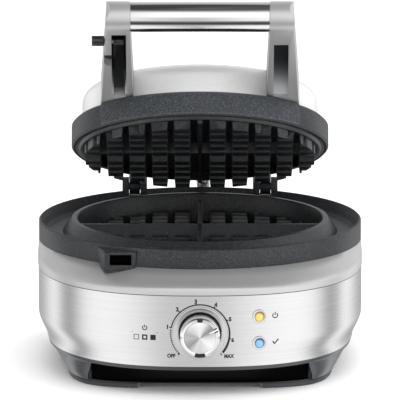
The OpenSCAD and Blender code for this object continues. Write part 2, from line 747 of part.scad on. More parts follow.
module cable_sleeve() {
    rings = [for (i = [0:sleeve_steps]) let (t = i / sleeve_steps,
        p = bezier(sleeve_curve, t),
        d = t < 0.01 ? [0, 0, 1] : t > 0.99 ? [0, -cos(lid_open), sin(lid_open)]
            : bezier(sleeve_curve, t + 0.01) - bezier(sleeve_curve, t - 0.01),
        u = d / norm(d), side = [1, 0, 0] - u.x * u, a = side / norm(side), b = cross(u, a))
        [for (k = [0:sleeve_sides - 1]) let (q = 360 * k / sleeve_sides)
            p + sleeve_d / 2 * (cos(q) * a + sin(q) * b)]];
    color("#b9bbbd") at_centre() stack(rings);
}

// ---- Dial ----

module at_dial() { at_centre() translate([0, -base_front, dial_z]) rotate([90, 0, 0]) children(); }

module dial_knob() {
    r = dial_d / 2;
    back = -2.9;
    color("#c8c9ca") at_dial() difference() {
        rotate_extrude() polygon([[shaft_d / 2, back], [r, back], [r, dial_out - 1.4], [r - 1.2, dial_out - 0.2],
            [r - 3.2, dial_out - 0.6], [r - 3.2, dial_out - 3], [shaft_d / 2, dial_out - 3]]);
        for (s = [-1, 1]) translate([s * r, 0, 4]) cylinder(d = 2.6, h = 40, $fn = 24);
    }
}

module dial_cap() {
    r = dial_d / 2 - 3.3;
    color("#8d8f91") at_dial() difference() {
        translate([0, 0, dial_out - 3]) cylinder(r = r, h = 3);
        rotate([0, 0, -64]) translate([-0.8, r - 6.5, dial_out - 1]) cube([1.6, 7, 2]);
    }
}

module dial_shaft() {
    color("#b0b2b4") at_dial() translate([0, 0, board_y + base_front > 0 ? -(board_y + base_front) + 4 : 0])
        cylinder(d = shaft_d, h = dial_out - 3 + board_y + base_front - 4);
}

// ---- Lid ----

// Section of the cover's outside, moved out by g
module cover_outline(g = 0) {
    r = cover_r + g;
    top = cover_top + g;
    square([r, top - cover_edge]);
    square([r - cover_edge, top]);
    translate([r - cover_edge, top - cover_edge]) circle(r = cover_edge);
}

module lid_cover() {
    color("#bcbdbe") at_lid() rotate_extrude($fn = 144) difference() {
        intersection() {
            cover_outline();
            translate([0, rim_h]) square([cover_r + 1, cover_h + 1]);
        }
        cover_outline(-cover_wall);
    }
}

module hinge_lug(x) {
    axis = [hinge_back, hinge_z - closed_z];
    across(lug_w, x) difference() {
        union() {
            translate(axis) circle(r = lug_r);
            polygon([axis + [0.5, -lug_r], axis + [lug_r * 0.7, lug_r * 0.7], [plate_r + 1, rim_h - 3],
                [plate_r - 18, rim_h - 1], [plate_r - 18, axis.y + 0.8], axis + [-lug_r, 0]]);
        }
        translate(axis) circle(d = hinge_pin_d + 2 * running_gap);
    }
}

module lid_rim() {
    inner = plate_r - rim_wall;
    color("#2d3135") at_lid() difference() {
        union() {
            rotate_extrude($fn = 144) polygon([[inner, 0.6], [inner + 0.6, 0], [plate_r - 1.4, 0],
                [plate_r, 1.4], [plate_r, rim_h - 1.6], [plate_r - 1.6, rim_h], [cover_r - 6, rim_h],
                [cover_r - 6, rim_h - 2.5], [inner, rim_h - 2.5]]);
            difference() {
                for (s = [-1, 1]) hinge_lug(s * lug_x);
                cylinder(r = inner + 1, h = span, center = true);
            }
        }
        translate(gland_spot) rotate([90, 0, 0]) cylinder(d = sleeve_d + 5.2, h = 20, center = true);
        for (s = [-1, 1]) bracket_hole(s) cylinder(d = bracket_screw_d + 0.4, h = 30, center = true);
    }
}

upper_section = [[0, upper_face], [teeth_r - 0.6, upper_face], [teeth_r - 0.4, -upper_lip + 0.6],
    [teeth_r + 0.1, -upper_lip], [cavity_r - 2.2, -upper_lip], [cavity_r - 1.7, -upper_lip + 0.5], [cavity_r - 0.6, 0.2], [plate_r - rim_wall - SEAT, 0.2], [plate_r - rim_wall - SEAT, 3],
    [cavity_r - 1, upper_face + plate_t - 1], [cavity_r - 3, upper_face + plate_t], [0, upper_face + plate_t]];

module upper_plate() {
    color("#33373b") at_lid() {
        rotate_extrude($fn = 144) polygon(upper_section);
        teeth(upper_face, -1, upper_face + 1);
        intersection() {
            ribs(upper_face, -1, -upper_rib, teeth_r);
            translate([0, 0, -20]) cylinder(r = teeth_r, h = 40, $fn = 144);
        }
    }
}

module upper_heater() {
    color("#6b6e70") at_lid() translate([0, 0, upper_face + plate_t + heater_d / 2 + SEAT]) heater_ring();
}

module upper_heat_shield() {
    r = cover_r - cover_wall - 0.3;
    color("#9a9da0") at_lid() rotate_extrude() polygon([[0, rim_h + 3], [r - 16, rim_h + 3], [r - 12, rim_h + 0.1],
        [r, rim_h + 0.1], [r, rim_h + 0.1 + shield_wall], [r - 11.4, rim_h + 0.1 + shield_wall],
        [r - 15.4, rim_h + 3 + shield_wall], [0, rim_h + 3 + shield_wall]]);
}

module thermal_fuse() {
    color("#c7c1ae") at_lid() translate([0, 0, upper_face + plate_t + SEAT]) {
        cylinder(d = 15, h = 6);
        translate([-14, -4, 0]) cube([28, 8, 1.6]);
    }
}

// ---- Handle ----

// Place of a screw through the bracket into the rim, on side s
module bracket_hole(s) {
    rotate([0, 0, s * 22 - 90]) translate([plate_r, 0, rim_h * 0.55]) rotate([0, 90, 0]) children();
}

module handle_bracket() {
    gap = 0.1;
    color("#26292c") at_lid() difference() {
        rotate([0, 0, -90 - bracket_angle]) rotate_extrude(angle = 2 * bracket_angle, $fn = 144)
            polygon([[plate_r + gap, 0.6], [bracket_r - 1, 0.2], [bracket_r, 1.2], [bracket_r, rim_h - 0.8],
                [bracket_r - 0.8, rim_h], [plate_r + gap, rim_h]]);
        for (s = [-1, 1]) bracket_hole(s) {
            cylinder(d = bracket_screw_d + 0.4, h = 30, center = true);
            translate([0, 0, 1.2]) cylinder(d = 2 * bracket_screw_d + 0.6, h = 10);
        }
    }
}

module bracket_screws() {
    color("#1c1e20") at_lid() for (s = [-1, 1]) bracket_hole(s) {
        translate([0, 0, 1.2]) cylinder(d = 2 * bracket_screw_d + 0.2, h = bracket_proud - 1.2);
        translate([0, 0, -bracket_screw_d - 3]) cylinder(d = bracket_screw_d, h = bracket_screw_d + 5);
    }
}

// Side view of an arm in the lid's Y and Z
module arm_side() {
    back = [-cover_r * 0.55, cover_top + 0.5];
    translate(tube_c) circle(r = boss_r);
    polygon([root, tangent(root, tube_c, boss_r, -1), tube_c, tangent(back, tube_c, boss_r, 1), back,
        [back.x, root.y]]);
}

// View of an arm onto its underside: x across, y along the arm
module arm_face() {
    tip = arm_len + boss_r;
    polygon([[arm_in_root, -30], [arm_out_root + 1.2, -30], [arm_out_root, 0], [arm_out_tip, arm_len],
        [arm_out_tip, tip - 3], [arm_out_tip - 4, tip + 1], [arm_in_tip, tip + 1], [arm_in_tip, arm_len - boss_r]]);
}

recess_end = latch_pivot + 5.6;
latch_recess_end = latch_pivot + 19.4;
hook_eye_r = hook_t / 2 + 1.2;
recess_depth = latch_deep + hook_eye_r + 0.4;

// Recess in an arm's underside: a long pocket that ends in a scoop at the root
module arm_recess(end) {
    scoop = 20;
    across(recess_w, recess_x) polygon([[3, CUT], [3, -2], [scoop, -recess_depth], [end, -recess_depth],
        [end, CUT]]);
}

// Groove in the scoop that the hook's barb lies in
module barb_groove() {
    across(hook_w + 1, recess_x) polygon([[1.6, CUT], [1.6, -19], [12, -19], [22, -recess_depth], [22, CUT]]);
}

// The right arm; the left one is its mirror, with the latch's recesses
module arm(latched) {
    spigot_r = tube_d / 2 - tube_wall - 0.1;
    difference() {
        union() {
            intersection() {
                across(arm_out_root + 10 - arm_in_root + 10, (arm_out_root + arm_in_root) / 2) arm_side();
                at_arm() linear_extrude(span, center = true) arm_face();
            }
            translate([0, tube_c.x, tube_c.y]) round_bar(2 * spigot_r, 9, arm_in_tip - 3.5);
        }
        rotate_extrude($fn = 144) cover_outline(SEAT);
        at_arm() arm_recess(latched ? latch_recess_end : recess_end);
        translate([0, tube_c.x, tube_c.y]) round_bar(rod_d + 0.2, 60, arm_in_tip);
        if (latched) {
            at_arm() barb_groove();
            translate([0, pivot.x, pivot.y])
                round_bar(latch_pin_d + 2 * running_gap, 60, arm_out_tip + 30 - 17);
        }
    }
}

module handle_arm_left() { color("#aaacae") at_lid() mirror([1, 0, 0]) arm(true); }

module handle_arm_right() { color("#aaacae") at_lid() arm(false); }

module handle_tube() {
    color("#d5d6d7") at_lid() translate([0, tube_c.x, tube_c.y]) difference() {
        round_bar(tube_d, 2 * arm_in_tip - 0.2);
        round_bar(tube_d - 2 * tube_wall, 2 * arm_in_tip + 2);
    }
}

module handle_rod() {
    color("#6f7173") at_lid() translate([0, tube_c.x, tube_c.y]) round_bar(rod_d, 2 * arm_out_tip - 6);
}

// ---- Latch ----

module at_pivot() { at_lid() translate([0, pivot.x, pivot.y]) children(); }

// The hook lies along the arm's underside and reaches back to the root
module latch_hook() {
    bend = hook_angle;
    color("#3c3f42") at_pivot() rotate([-arm_angle, 0, 0]) difference() {
        across(hook_w, -recess_x) difference() {
            union() {
                circle(r = hook_eye_r);
                translate([0, -hook_t / 2]) square([hook_reach, hook_t]);
                translate([hook_reach, 0]) circle(r = hook_t / 2);
                translate([hook_reach, 0]) rotate(bend) translate([0, -2]) square([barb_len, 4]);
            }
            circle(d = latch_pin_d);
        }
    }
}

module latch_pin() {
    inner_x = recess_x - hook_w / 2 - 0.2;
    color("#7c7e80") at_pivot() round_bar(latch_pin_d, arm_out_tip + 4 - inner_x, -(arm_out_tip + 4 + inner_x) / 2);
}

module latch_knob() {
    start = arm_out_tip + 1.6;
    color("#101112") at_pivot() translate([-start, 0, 0]) rotate([0, -90, 0]) difference() {
        cylinder(d = latch_knob_d, h = latch_knob_len);
        translate([0, 0, -CUT]) cylinder(d = latch_pin_d, h = 3.4);
    }
}

base_tray();
feet();
front_panel();
shoulder_trim();
rear_cover();
moat_ring();
lower_plate();
lower_heater();
lower_heat_shield();
plate_thermostat();
control_board();
dial_control();
dial_bezel();
power_lamp();
ready_lamp();
lamp_bezels();
terminal_block();
base_screws();
hinge_pins();
cable_sleeve();
sleeve_socket();
cord_gland();
dial_knob();
dial_cap();
dial_shaft();
lid_cover();
lid_rim();
upper_plate();
upper_heater();
upper_heat_shield();
thermal_fuse();
sleeve_gland();
handle_bracket();
bracket_screws();
handle_arm_left();
handle_arm_right();
handle_tube();
handle_rod();
latch_hook();
latch_pin();
latch_knob();
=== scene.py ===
import json
import math

import bmesh
import bpy
from mathutils import Matrix, Vector


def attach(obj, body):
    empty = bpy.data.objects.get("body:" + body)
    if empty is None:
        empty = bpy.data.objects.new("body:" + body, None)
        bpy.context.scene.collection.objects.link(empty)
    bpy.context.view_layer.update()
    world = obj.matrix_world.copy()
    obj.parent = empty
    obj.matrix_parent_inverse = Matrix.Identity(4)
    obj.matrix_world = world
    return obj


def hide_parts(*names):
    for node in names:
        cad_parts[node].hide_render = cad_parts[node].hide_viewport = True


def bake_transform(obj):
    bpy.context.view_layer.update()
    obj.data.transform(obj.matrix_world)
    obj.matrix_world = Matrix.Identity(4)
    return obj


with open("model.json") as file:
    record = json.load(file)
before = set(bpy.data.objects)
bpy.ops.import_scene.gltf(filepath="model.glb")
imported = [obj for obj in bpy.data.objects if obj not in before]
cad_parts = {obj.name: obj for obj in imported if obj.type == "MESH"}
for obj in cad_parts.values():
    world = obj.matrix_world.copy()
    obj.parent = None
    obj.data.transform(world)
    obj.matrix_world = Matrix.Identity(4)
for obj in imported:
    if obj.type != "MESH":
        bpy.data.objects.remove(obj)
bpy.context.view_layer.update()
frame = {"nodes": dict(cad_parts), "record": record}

# ---------------------------------------------------------------------------
# Camera. A long lens a little above the table, square on to the dial. The middle
# of the moat ring's top stands just below the middle of the picture.
# ---------------------------------------------------------------------------
MM = 0.001
CENTRE_Y = 5.8 * MM              # the plates' middle
RING_TOP = 111.4 * MM
LOOK_DOWN = math.radians(11.2)
LOOK_FROM = 8.0
PIXEL = 0.79 * MM                # at the ring
FIELD_W = PIXEL * 400            # what the picture takes in from side to side
RING_BELOW_MIDDLE = 17.75 * PIXEL
SENSOR_W = 36

picture_up = Vector((0, math.sin(LOOK_DOWN), math.cos(LOOK_DOWN)))
look_at = Vector((0, CENTRE_Y, RING_TOP)) + RING_BELOW_MIDDLE * picture_up
camera_data = bpy.data.cameras.new("camera")
camera_data.sensor_width = SENSOR_W
camera_data.lens = SENSOR_W * LOOK_FROM / FIELD_W
camera_data.clip_end = 60
camera = bpy.data.objects.new("camera", camera_data)
camera.location = look_at + LOOK_FROM * Vector((0, -math.cos(LOOK_DOWN), math.sin(LOOK_DOWN)))
camera.rotation_euler = (math.radians(90) - LOOK_DOWN, 0, 0)
bpy.context.scene.collection.objects.link(camera)
bpy.context.scene.camera = camera
bpy.context.scene.view_settings.view_transform = "Standard"


# ---------------------------------------------------------------------------
# Floor and studio light. A white floor in a white room, with a dark ceiling that
# polished faces show as a dark band. A soft light above gives the short shadow.
# ---------------------------------------------------------------------------
class Level:
    """A number inside a finish. Arithmetic on it adds Math nodes."""

    def __init__(self, finish, socket):
        self.finish, self.socket = finish, socket

    def math(self, operation, *values):
        return self.finish.node("ShaderNodeMath", {"operation": operation}, dict(enumerate(values)))

    def __add__(self, other): return self.math("ADD", self, other)
    def __radd__(self, other): return self.math("ADD", other, self)
    def __sub__(self, other): return self.math("SUBTRACT", self, other)
    def __rsub__(self, other): return self.math("SUBTRACT", other, self)
    def __mul__(self, other): return self.math("MULTIPLY", self, other)
    def __rmul__(self, other): return self.math("MULTIPLY", other, self)
    def __truediv__(self, other): return self.math("DIVIDE", self, other)
    def __pow__(self, other): return self.math("POWER", self, other)
    def __abs__(self): return self.math("ABSOLUTE", self)

    def ramp(self, low, high, start=0.0, end=1.0):
        """Smooth step from start at low to end at high."""
        return self.finish.node("ShaderNodeMapRange", {"interpolation_type": "SMOOTHSTEP"},
                                {0: self, 1: low, 2: high, 3: start, 4: end})


class Finish:
    """The shader nodes of one surface, or of the room."""

    def __init__(self, owner):
        owner.use_nodes = True
        self.tree = owner.node_tree
        self.tree.nodes.clear()

    def node(self, kind, settings=None, inputs=None, out=0):
        """Adds a node. Its settings and a ramp's stops come first, then its sockets' values and links."""
        made = self.tree.nodes.new(kind)
        for name, value in (settings or {}).items():
            if name == "stops":
                ramp = made.color_ramp
                while len(ramp.elements) < len(value):
                    ramp.elements.new(1.0)
                for element, (spot, level) in zip(ramp.elements, value):
                    element.position, element.color = spot, (level, level, level, 1)
            else:
                setattr(made, name, value)
        for name, value in (inputs or {}).items():
            if isinstance(value, Level):
                self.tree.links.new(value.socket, made.inputs[name])
            else:
                made.inputs[name].default_value = value
        return Level(self, made.outputs[out])

    def place(self, scale=(1, 1, 1), middle=(0, 0, 0)):
        """Where a point is on the piece, from its middle, stretched by scale."""
        where = self.node("ShaderNodeTexCoord", out=3)
        return self.node("ShaderNodeMapping", {"vector_type": "POINT"},
                         {"Vector": where, "Scale": scale,
                          "Location": tuple(-m * s for m, s in zip(middle, scale))})

    def axis(self, where, i):
        """One of a place's three numbers."""
        return self.node("ShaderNodeSeparateXYZ", None, {0: where}, out=i)

    def noise(self, where, scale=1.0, detail=2.0, rough=0.5):
        return self.node("ShaderNodeTexNoise", None,
                         {"Vector": where, "Scale": scale, "Detail": detail, "Roughness": rough})

    def blend(self, mask, first, second):
        """Colour that goes from first to second as mask goes from 0 to 1."""
        return self.node("ShaderNodeMix", {"data_type": "RGBA"}, {0: mask, 6: first, 7: second}, out=2)

    def bump(self, height, depth):
        """Normal of a relief whose height, 0 to 1, stands for depth in metres."""
        return self.node("ShaderNodeBump", None, {"Height": height, "Strength": 1.0, "Distance": depth})

    def close(self, **sockets):
        """Ends the finish with its Principled shader."""
        named = {name.replace("_", " "): value for name, value in sockets.items()}
        shader = self.node("ShaderNodeBsdfPrincipled", None, named)
        output = self.tree.nodes.new("ShaderNodeOutputMaterial")
        self.tree.links.new(shader.socket, output.inputs[0])


def surface(name):
    """A new material, with its finish still to be made."""
    material = bpy.data.materials.new(name)
    return material, Finish(material)


def grey(level):
    return (level, level, level, 1)


floor_mesh = bpy.data.meshes.new("floor")
floor_form = bmesh.new()
bmesh.ops.create_grid(floor_form, x_segments=1, y_segments=1, size=30)
floor_form.to_mesh(floor_mesh)
floor_form.free()
floor = bpy.data.objects.new("floor", floor_mesh)
bpy.context.scene.collection.objects.link(floor)
floor_paint, finish = surface("floor_paint")
finish.close(Base_Color=grey(0.94), Roughness=0.5, Specular_IOR_Level=0.2)
floor_mesh.materials.append(floor_paint)
floor.visible_glossy = False     # polished faces show the room instead

world = bpy.data.worlds.new("room")
bpy.context.scene.world = world
finish = Finish(world)
ray = finish.node("ShaderNodeTexCoord", out=0)
ray_x, ray_y, ray_z = (finish.axis(ray, i) for i in range(3))
# round the room from 0 to 1: 0.5 is the camera's side and 0.75 the right
azimuth = 0.5 + ray_x.math("ARCTAN2", ray_x, -1 * ray_y) / (2 * math.pi)
low_walls = finish.node("ShaderNodeValToRGB", {"stops": [
    (0.0, 0.5), (0.05, 0.42), (0.09, 0.75), (0.12, 1.25), (0.146, 1.2), (0.172, 0.55), (0.197, 0.33), (0.219, 0.55),
    (0.242, 0.95), (0.264, 1.2), (0.306, 1.3), (0.375, 1.24), (0.417, 1.07), (0.461, 0.78), (0.49, 0.66), (0.503, 0.68),
    (0.52, 0.84), (0.545, 1.04), (0.575, 1.16), (0.61, 1.28), (0.65, 1.34), (0.7, 1.34), (0.736, 1.25), (0.758, 0.98),
    (0.781, 0.58), (0.803, 0.35), (0.828, 0.58), (0.854, 1.25), (0.88, 1.3), (0.91, 0.8), (0.95, 0.42), (1.0, 0.5)]},
    {0: azimuth})
soft_box = finish.node("ShaderNodeValToRGB", {"stops": [
    (0.0, 0.6), (0.15, 0.58), (0.22, 0.55), (0.3, 0.5), (0.36, 0.65), (0.42, 1.0), (0.46, 1.25), (0.5, 1.3),
    (0.56, 1.25), (0.62, 1.05), (0.68, 0.95), (0.76, 1.1), (0.85, 0.75), (1.0, 0.6)]}, {0: azimuth})
rise = finish.node("ShaderNodeValToRGB", {"stops": [
    (0.0, 0.85), (0.3, 0.95), (0.41, 0.97), (0.45, 1.0), (0.84, 1.0), (0.885, 0.6), (0.925, 0.22), (0.96, 0.08),
    (1.0, 0.1)]}, {0: 0.5 + 0.5 * ray_z})
above = ray_z.ramp(-0.03, 0.3)
mirrored = (low_walls * (1 - above) + soft_box * above) * rise
seen = finish.node("ShaderNodeLightPath", out=0)
glossy = finish.node("ShaderNodeLightPath", out=3)
strength = seen + (1 - seen) * (glossy * mirrored + (1 - glossy) * (1.5 + 0.6 * ray_x + 0.35 * ray_y))
shine = finish.node("ShaderNodeBackground", None, {"Color": grey(1.0), "Strength": strength})
finish.tree.links.new(shine.socket, finish.tree.nodes.new("ShaderNodeOutputWorld").inputs[0])


LIT_SPOT = Vector((0, 0, 0.12))  # the middle of the object


def soft_light(name, power, size, place):
    """A soft light that points at the object, and that polished faces don't show."""
    data = bpy.data.lights.new(name, "AREA")
    data.shape = "RECTANGLE"
    data.energy = power
    data.size, data.size_y = size
    light = bpy.data.objects.new(name, data)
    light.location = place
    light.rotation_euler = (LIT_SPOT - Vector(place)).to_track_quat("-Z", "Y").to_euler()
    light.visible_glossy = False
    bpy.context.scene.collection.objects.link(light)


soft_light("top_light", 5, (1.2, 0.9), (0, 0.1, 1.6))
soft_light("front_light", 2, (1.6, 0.8), (0, -2.0, 1.1))
soft_light("right_light", 4, (0.6, 1.2), (1.6, -0.9, 0.9))


# A dark card in front of the handle, which only polished faces see, draws the dark band under the tube.
CARD_W, CARD_H = 0.7, 0.1
CARD_MIDDLE = (0, -0.205, 0.211)
card_form = bmesh.new()
bmesh.ops.create_grid(card_form, x_segments=1, y_segments=1, size=0.5,
                      matrix=Matrix.Translation(CARD_MIDDLE) @ Matrix.Rotation(math.pi / 2, 4, "X")
                      @ Matrix.Diagonal((CARD_W, CARD_H, 1, 1)))
card_mesh = bpy.data.meshes.new("card")
card_form.to_mesh(card_mesh)
card_form.free()
card_paint, finish = surface("card_paint")
card_tone = finish.node("ShaderNodeValToRGB", {"stops": [
    (0.162, 0.4), (0.19, 0.17), (0.215, 0.05), (0.236, 0.09), (0.26, 0.4)]}, {0: finish.axis(finish.place(), 2)})
finish.close(Base_Color=grey(0.0), Roughness=1.0, Specular_IOR_Level=0.0, Emission_Color=card_tone,
             Emission_Strength=1.0)
card_mesh.materials.append(card_paint)
card = bpy.data.objects.new("card", card_mesh)
card.visible_camera = card.visible_diffuse = card.visible_shadow = card.visible_transmission = False
bpy.context.scene.collection.objects.link(card)


# ---------------------------------------------------------------------------
# Tray. A shell of hard plastic, moulded in one piece, that closes the housing from
# below and curves in under the panel. It is slate grey and glossy at its corners;
# across the front its recess has shade painted on it as black.
# ---------------------------------------------------------------------------
SLOTS = {part["node"]: part["material_slot"] for part in frame["record"]["subparts"]}
BODIES = {node: body for body, nodes in frame["record"]["behaviour"]["bodies"].items() for node in nodes}


def show(name, form, material, *nodes, body=None, slot=None):
    """Makes a finished bmesh into a piece that stands for CAD nodes and rides on their body, or on none
    where body is False."""
    mesh = bpy.data.meshes.new(name)
    form.to_mesh(mesh)
    form.free()
    mesh.materials.append(material)
    piece = bpy.data.objects.new(name, mesh)
    bpy.context.scene.collection.objects.link(piece)
    if body is not False:
        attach(piece, body or BODIES[nodes[0]])
    if nodes:
        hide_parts(*nodes)
    slot or SLOTS[nodes[0]]
    return piece


def smooth(form, sharp=30):
    """Rounds the shading everywhere but on edges sharper than the angle."""
    form.normal_update()
    for face in form.faces:
        face.smooth = True
    for edge in form.edges:
        edge.smooth = len(edge.link_faces) == 2 and edge.calc_face_angle(0) < math.radians(sharp)


def solid_of(node):
    """A bmesh of the node's own form, with its loose triangles merged into whole faces."""
    form = bmesh.new()
    form.from_mesh(frame["nodes"][node].data)
    bmesh.ops.remove_doubles(form, verts=form.verts, dist=2e-6)
    bmesh.ops.dissolve_limit(form, angle_limit=math.radians(0.5), verts=form.verts, edges=form.edges)
    return form


def ease(form, width, segments=2, sharp=30):
    """Rounds the form's sharp edges by width, and marks the rounded faces, which some finishes paint with a highlight.
    """
    worn = form.faces.layers.float.new("worn")
    form.normal_update()
    edges = [e for e in form.edges if len(e.link_faces) == 2 and e.calc_face_angle(0) > math.radians(sharp)]
    made = bmesh.ops.bevel(form, geom=edges, offset=width, offset_type="OFFSET", segments=segments, profile=0.5,
                           affect="EDGES", clamp_overlap=True, material=-1)
    for face in made["faces"]:
        face[worn] = 1.0


def eased(node, material, width=0.3 * MM, segments=2, sharp=30):
    """The node's own form with its edges eased, as a finished piece."""
    form = solid_of(node)
    if width:
        ease(form, width, segments, sharp)
    smooth(form, 40 if width else sharp)
    return show(node + "_piece", form, material, node)


def moulded(name, colour, rough, grain=0.25 * MM, depth=0.02 * MM, coat=0.0):
    """Moulded plastic: a fine even grain, and faint patches of more and less gloss."""
    material, finish = surface(name)
    fine = finish.noise(finish.place(), 1 / grain, 3.0, 0.6)
    cloud = finish.noise(finish.place(), 22.0, 3.0)
    finish.close(Base_Color=finish.blend(cloud.ramp(0.35, 0.65), (*(c * 0.88 for c in colour), 1),
                                         (*(c * 1.1 for c in colour), 1)),
                 Roughness=rough - 0.05 + 0.1 * cloud + 0.06 * fine, Coat_Weight=coat, Coat_Roughness=0.12,
                 Normal=finish.bump(fine, depth))
    return material


RECESS_SIDE = 84.0 * MM          # where the shade painted on the front's recess ends, to the left and the right
RECESS_LOW, RECESS_TOP = 4.6 * MM, 18.4 * MM
RECESS_BACK = -100.0 * MM
tray_paint, finish = surface("tray_slate")
aside = abs(finish.axis(finish.place(), 0))
back = finish.axis(finish.place(), 1)
up = finish.axis(finish.place(), 2)
# painted shade: the front's recess is painted black and mirror-like, without coat, for the shade that falls in it
recess_shade = aside.ramp(RECESS_SIDE, RECESS_SIDE + 2.5 * MM, 1, 0) * up.ramp(RECESS_TOP, RECESS_TOP + 0.5 * MM, 1, 0) \
    * up.ramp(RECESS_LOW, RECESS_LOW + 0.6 * MM) * back.ramp(RECESS_BACK, RECESS_BACK + 10 * MM, 1, 0)
fine = finish.noise(finish.place(), 4500.0, 3.0)
finish.close(Base_Color=finish.blend(recess_shade, (0.03, 0.034, 0.04, 1), (0.002, 0.002, 0.0022, 1)),
             Metallic=recess_shade, Roughness=0.24 + 0.5 * recess_shade + 0.05 * fine, Coat_Weight=0.5 - 0.5 * recess_shade,
             Coat_Roughness=0.1, Normal=finish.bump(fine, 0.008 * MM))
eased("base_tray", tray_paint, 0.5 * MM)

# ---------------------------------------------------------------------------
# Feet. Four grey corner pads of soft rubber that carry on the tray's outline, and
# the four screws that come up through the tray's posts.
# ---------------------------------------------------------------------------
eased("feet", moulded("foot_rubber", (0.03, 0.034, 0.04), 0.5, 0.5 * MM, 0.03 * MM), 0.9 * MM, 3)


def plain_metal(name, tone, rough):
    """Bare metal off the machine: short scratches and slight changes of gloss."""
    material, finish = surface(name)
    scratch = finish.noise(finish.place((1, 1, 8)), 1 / (0.6 * MM), 4.0, 0.6)
    finish.close(Base_Color=finish.blend(scratch, grey(tone * 0.85), grey(tone)), Metallic=1.0,
                 Roughness=rough - 0.06 + 0.14 * scratch, Normal=finish.bump(scratch, 0.01 * MM))
    return material


screw_metal = plain_metal("screw_steel", 0.55, 0.34)
eased("base_screws", screw_metal, 0.4 * MM)

# ---------------------------------------------------------------------------
# Electrical pieces inside the base: the printed board on its legs, the control
# behind the dial, and the ceramic terminal block on the tray.
# ---------------------------------------------------------------------------
eased("control_board", moulded("board_green", (0.03, 0.16, 0.07), 0.4, 0.6 * MM, 0.01 * MM, 0.3), 0.2 * MM, 1)
eased("dial_control", moulded("control_black", (0.04, 0.04, 0.042), 0.5), 0.3 * MM)
eased("terminal_block", moulded("terminal_ceramic", (0.72, 0.7, 0.62), 0.55, 0.4 * MM, 0.02 * MM), 0.5 * MM)

# ---------------------------------------------------------------------------
# Front panel. A sheet of stainless steel brushed from end to end, wrapped round
# the front and both sides, tucked in at its foot, with holes for dial and lamps.
# ---------------------------------------------------------------------------
HALF_W = 127.6 * MM
BASE_REACH = 147.0 * MM          # from the plates' middle to the front and to the back
PANEL_LOW, PANEL_TOP = 22.5 * MM, 78.5 * MM
PANEL_WALL = 1.6 * MM
PANEL_POWER = 2.5                # how squared-off the housing's plan is, where 2 is an oval
WRAP = 14                        # degrees that the panel reaches past the widest point
SIDE_TUCK, TUCK_HEIGHT = 7.1 * MM, 20.0 * MM


def plan(angle, half, reach, power):
    """A point of the housing's plan, a squared-off oval, from its own middle."""
    c, s = math.cos(angle), math.sin(angle)
    return Vector((half * math.copysign(abs(c) ** (2 / power), c),
                   reach * math.copysign(abs(s) ** (2 / power), s) + CENTRE_Y))


def loft(levels, segments, start, end):
    """A wall through levels of (height, half width, reach, power), round from start to end."""
    form = bmesh.new()
    rows = len(levels) - 1
    bmesh.ops.create_grid(form, x_segments=segments, y_segments=rows, size=1)
    for v in form.verts:
        height, half, reach, power = levels[round((v.co.y + 1) / 2 * rows)]
        spot = plan(start + (end - start) * (v.co.x + 1) / 2, half, reach, power)
        v.co = (spot.x, spot.y, height)
    bmesh.ops.remove_doubles(form, verts=form.verts, dist=1e-6)
    bmesh.ops.recalc_face_normals(form, faces=form.faces)
    outward = max(form.faces, key=lambda f: f.calc_center_median().x)
    if outward.normal.x < 0:
        bmesh.ops.reverse_faces(form, faces=form.faces)
    return form


def walled(form, thickness):
    """Gives a wall its thickness, inwards, and joins the rims."""
    form.normal_update()
    bmesh.ops.solidify(form, geom=list(form.faces), thickness=thickness)


def carve(piece, *cutters):
    """Cuts solid forms out of a piece, and removes them."""
    tools = []
    for form in cutters:
        mesh = bpy.data.meshes.new("cutter")
        form.to_mesh(mesh)
        form.free()
        tool = bpy.data.objects.new("cutter", mesh)
        bpy.context.scene.collection.objects.link(tool)
        cut = piece.modifiers.new("cut", "BOOLEAN")
        cut.operation, cut.solver, cut.object = "DIFFERENCE", "EXACT", tool
        tools.append(tool)
    carved = bpy.data.meshes.new_from_object(piece.evaluated_get(bpy.context.evaluated_depsgraph_get()))
    piece.modifiers.clear()
    old, piece.data = piece.data, carved
    bpy.data.meshes.remove(old)
    for tool in tools:
        bpy.data.objects.remove(tool)


def rod(radius, length, middle, aim):
    """A plain round bar about its middle along aim, to cut with."""
    form = bmesh.new()
    turn = Vector(aim).to_track_quat("Z", "Y").to_matrix().to_4x4()
    bmesh.ops.create_cone(form, cap_ends=True, segments=96, radius1=radius, radius2=radius, depth=length,
                          matrix=Matrix.Translation(middle) @ turn)
    return form


def tuck(height):
    """How far the panel's sides draw in towards its foot."""
    s = min(1.0, max(0.0, (PANEL_LOW + TUCK_HEIGHT - height) / TUCK_HEIGHT))
    return SIDE_TUCK * s * s * (3 - 2 * s)


def panel_y(x):
    """Where the panel's face stands at x."""
    return CENTRE_Y - BASE_REACH * (1 - (abs(x) / HALF_W) ** PANEL_POWER) ** (1 / PANEL_POWER)


def panel_out(x):
    """The way that the panel faces at x."""
    return Vector(((panel_y(x + MM) - panel_y(x - MM)) / (2 * MM), -1, 0)).normalized()


def brushed(name, tone, rough, stretch, depth, metal=1.0):
    """Brushed metal: long fine lines, which stretch sets, over broad changes of tone."""
    material, finish = surface(name)
    line = finish.noise(finish.place(stretch), 1.0, 3.0, 0.7)
    broad = finish.noise(finish.place(tuple(s / 4 for s in stretch)), 1.0, 2.0)
    finish.close(Base_Color=finish.blend((0.7 * line + 0.3 * broad).ramp(0.3, 0.7), grey(tone * 0.9), grey(tone)),
                 Metallic=metal, Roughness=rough - 0.05 + 0.1 * line, Normal=finish.bump(line, depth))
    return material


